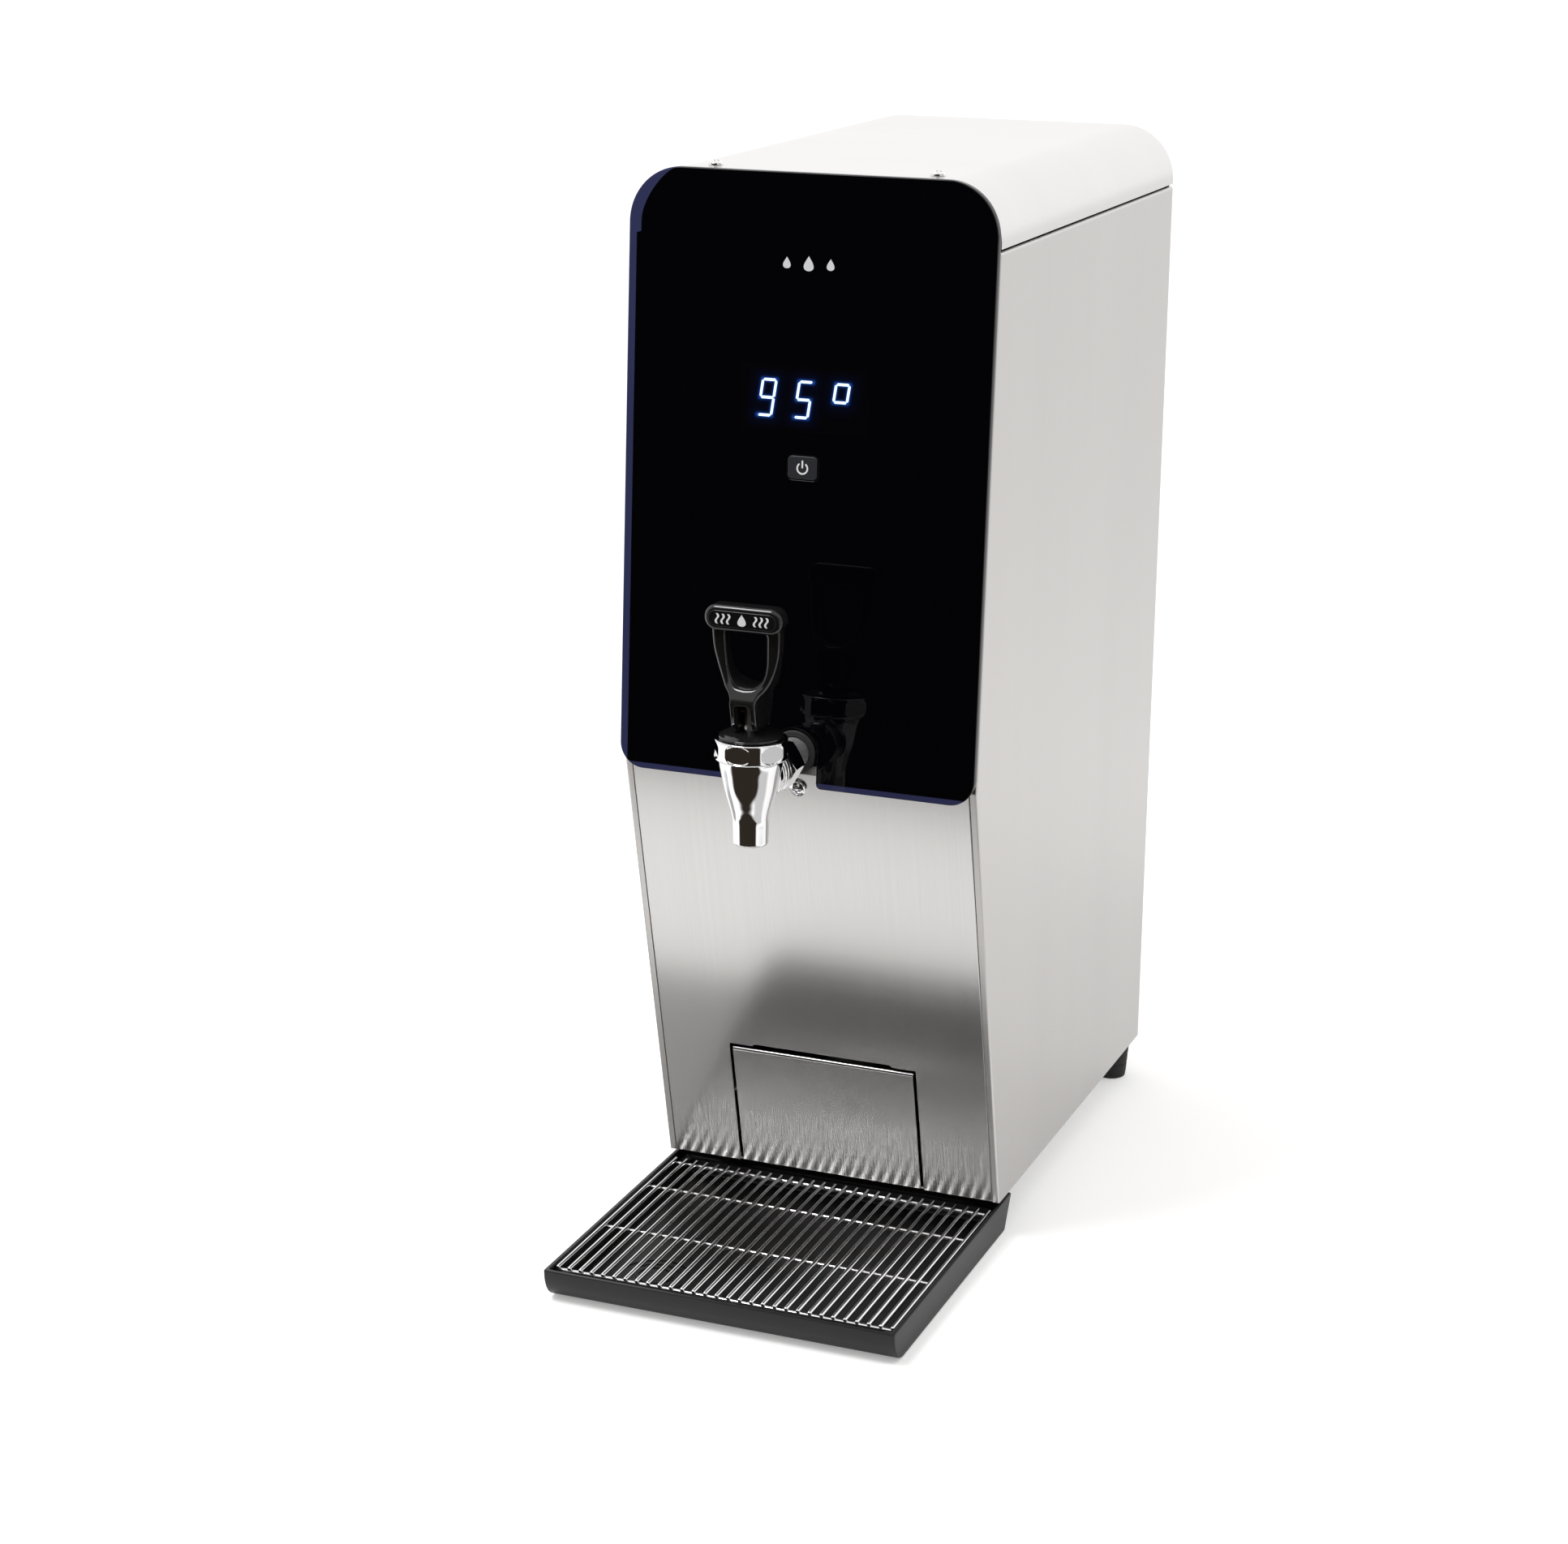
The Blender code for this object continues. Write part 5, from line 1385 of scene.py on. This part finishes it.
class DispenserStage(bpy.types.PropertyGroup):
    """Floor, light and camera."""

    floor_color: FloatVectorProperty(
        name="Floor", description="Colour of the floor",
        subtype="COLOR", default=(0.86, 0.86, 0.86), min=0, max=1)
    floor_glow: FloatProperty(
        name="Floor glow", description="Light that the floor gives off",
        default=0.16, min=0, max=2)
    light_color: FloatVectorProperty(
        name="Surroundings", description="Colour of the light all round",
        subtype="COLOR", default=(1.0, 0.99, 0.98), min=0, max=1)
    back_color: FloatVectorProperty(
        name="Behind", description="Colour of the light behind the machine",
        subtype="COLOR", default=(1.2, 1.2, 1.2), min=0, max=4)
    front_color: FloatVectorProperty(
        name="Ahead", description="Colour of the studio ahead of the machine",
        subtype="COLOR",
        default=(0.020, 0.016, 0.012), min=0, max=1)
    world_strength: FloatProperty(
        name="Surroundings strength", description="Brightness of the light all round",
        default=1.0, min=0, max=5)
    lamp_power: FloatProperty(
        name="Lamp power", description="Power of the lamp overhead",
        unit="POWER", default=20.0, min=0, max=500)
    focal_length: FloatProperty(
        name="Focal length", description="Lens of the camera",
        unit="CAMERA", default=74.02, min=10, max=300)
    camera_location: FloatVectorProperty(
        name="Camera", description="Where the camera stands",
        subtype="TRANSLATION", default=(0.63048, -1.71720, 0.80492))


# ---------------------------------------------------------------- operators


class DISPENSER_OT_finishes(bpy.types.Operator):
    """Make every finish"""

    bl_idname = "dispenser.finishes"
    bl_label = "Finishes"

    def execute(self, context):
        make_finishes(context.scene.dispenser_looks)
        return {"FINISHED"}


class DISPENSER_OT_inner_parts(bpy.types.Operator):
    """Give the frame's own solids their finishes"""

    bl_idname = "dispenser.inner_parts"
    bl_label = "Inner parts"

    def execute(self, context):
        inner_parts()
        return {"FINISHED"}


class DISPENSER_OT_cabinet(bpy.types.Operator):
    """Build the sides and the lid"""

    bl_idname = "dispenser.cabinet"
    bl_label = "Cabinet"

    def execute(self, context):
        side_panel("left_side_panel", -1)
        side_panel("right_side_panel", 1)
        lid()
        return {"FINISHED"}


class DISPENSER_OT_glass(bpy.types.Operator):
    """Build the glass front and its mark"""

    bl_idname = "dispenser.glass"
    bl_label = "Glass front"

    def execute(self, context):
        fascia()
        fascia_mark()
        return {"FINISHED"}


class DISPENSER_OT_display(bpy.types.Operator):
    """Build the lit digits and the haze round them"""

    bl_idname = "dispenser.display"
    bl_label = "Display"

    def execute(self, context):
        display()
        return {"FINISHED"}


class DISPENSER_OT_button(bpy.types.Operator):
    """Build the power button and its mark"""

    bl_idname = "dispenser.button"
    bl_label = "Power button"

    def execute(self, context):
        power_button()
        return {"FINISHED"}


class DISPENSER_OT_lower_front(bpy.types.Operator):
    """Build the receding steel front"""

    bl_idname = "dispenser.lower_front"
    bl_label = "Lower front"

    def execute(self, context):
        lower_panel()
        return {"FINISHED"}


class DISPENSER_OT_access_panel(bpy.types.Operator):
    """Build the drop-down panel"""

    bl_idname = "dispenser.access_panel"
    bl_label = "Access panel"

    def execute(self, context):
        access_panel()
        return {"FINISHED"}


class DISPENSER_OT_screws(bpy.types.Operator):
    """Build the screws that show"""

    bl_idname = "dispenser.screws"
    bl_label = "Screws"

    def execute(self, context):
        screws()
        return {"FINISHED"}


class DISPENSER_OT_tap(bpy.types.Operator):
    """Build the tap's body, collar and cap"""

    bl_idname = "dispenser.tap"
    bl_label = "Tap"

    def execute(self, context):
        tap_body()
        tap_collar(context.scene.dispenser_looks.facets)
        tap_bonnet()
        return {"FINISHED"}


class DISPENSER_OT_handle(bpy.types.Operator):
    """Build the loop handle and its label"""

    bl_idname = "dispenser.handle"
    bl_label = "Tap handle"

    def execute(self, context):
        tap_handle()
        return {"FINISHED"}


class DISPENSER_OT_shank(bpy.types.Operator):
    """Build the shank, its nut and its gasket"""

    bl_idname = "dispenser.shank"
    bl_label = "Tap shank"

    def execute(self, context):
        tap_shank()
        return {"FINISHED"}


class DISPENSER_OT_tray(bpy.types.Operator):
    """Build the drip tray"""

    bl_idname = "dispenser.tray"
    bl_label = "Drip tray"

    def execute(self, context):
        drip_tray()
        return {"FINISHED"}


class DISPENSER_OT_grille(bpy.types.Operator):
    """Build the wire grille"""

    bl_idname = "dispenser.grille"
    bl_label = "Drip grille"

    def execute(self, context):
        drip_grille(context.scene.dispenser_looks.wires)
        return {"FINISHED"}


class DISPENSER_OT_feet(bpy.types.Operator):
    """Build the four feet"""

    bl_idname = "dispenser.feet"
    bl_label = "Feet"

    def execute(self, context):
        feet()
        return {"FINISHED"}


class DISPENSER_OT_fittings(bpy.types.Operator):
    """Build the water inlet and the mains gland"""

    bl_idname = "dispenser.fittings"
    bl_label = "Rear fittings"

    def execute(self, context):
        inlet_fitting()
        mains_gland()
        return {"FINISHED"}


class DISPENSER_OT_stage(bpy.types.Operator):
    """Set the floor, the light and the camera"""

    bl_idname = "dispenser.stage"
    bl_label = "Stage"

    def execute(self, context):
        stage = context.scene.dispenser_stage
        context.scene.view_settings.view_transform = "Standard"
        studio_world(stage)
        floor(stage)
        soft_lamp("lamp_overhead", (-0.60, -0.75, 1.85), (0, -0.05, 0.2), 0.75, stage.lamp_power)
        camera(stage)
        return {"FINISHED"}


OPERATORS = (
    DISPENSER_OT_finishes,
    DISPENSER_OT_inner_parts,
    DISPENSER_OT_cabinet,
    DISPENSER_OT_glass,
    DISPENSER_OT_display,
    DISPENSER_OT_button,
    DISPENSER_OT_lower_front,
    DISPENSER_OT_access_panel,
    DISPENSER_OT_screws,
    DISPENSER_OT_tap,
    DISPENSER_OT_handle,
    DISPENSER_OT_shank,
    DISPENSER_OT_tray,
    DISPENSER_OT_grille,
    DISPENSER_OT_feet,
    DISPENSER_OT_fittings,
    DISPENSER_OT_stage,
)


class DISPENSER_PT_panel(bpy.types.Panel):
    """Lists the pieces and the stage"""

    bl_label = "Water dispenser"
    bl_idname = "DISPENSER_PT_panel"
    bl_space_type = "VIEW_3D"
    bl_region_type = "UI"
    bl_category = "Dispenser"

    def draw(self, context):
        for operator in OPERATORS:
            self.layout.operator(operator.bl_idname)
        for group in (context.scene.dispenser_looks, context.scene.dispenser_stage):
            for name in group.bl_rna.properties.keys():
                if name not in ("rna_type", "name"):
                    self.layout.prop(group, name)


CLASSES = (DispenserLooks, DispenserStage, *OPERATORS, DISPENSER_PT_panel)


def register():
    for cls in CLASSES:
        bpy.utils.register_class(cls)
    bpy.types.Scene.dispenser_looks = PointerProperty(type=DispenserLooks)
    bpy.types.Scene.dispenser_stage = PointerProperty(type=DispenserStage)


def unregister():
    del bpy.types.Scene.dispenser_looks
    del bpy.types.Scene.dispenser_stage
    for cls in reversed(CLASSES):
        bpy.utils.unregister_class(cls)


def main():
    register()
    for operator in OPERATORS:
        group, name = operator.bl_idname.split(".")
        getattr(getattr(bpy.ops, group), name)()


if __name__ == "__main__":
    main()
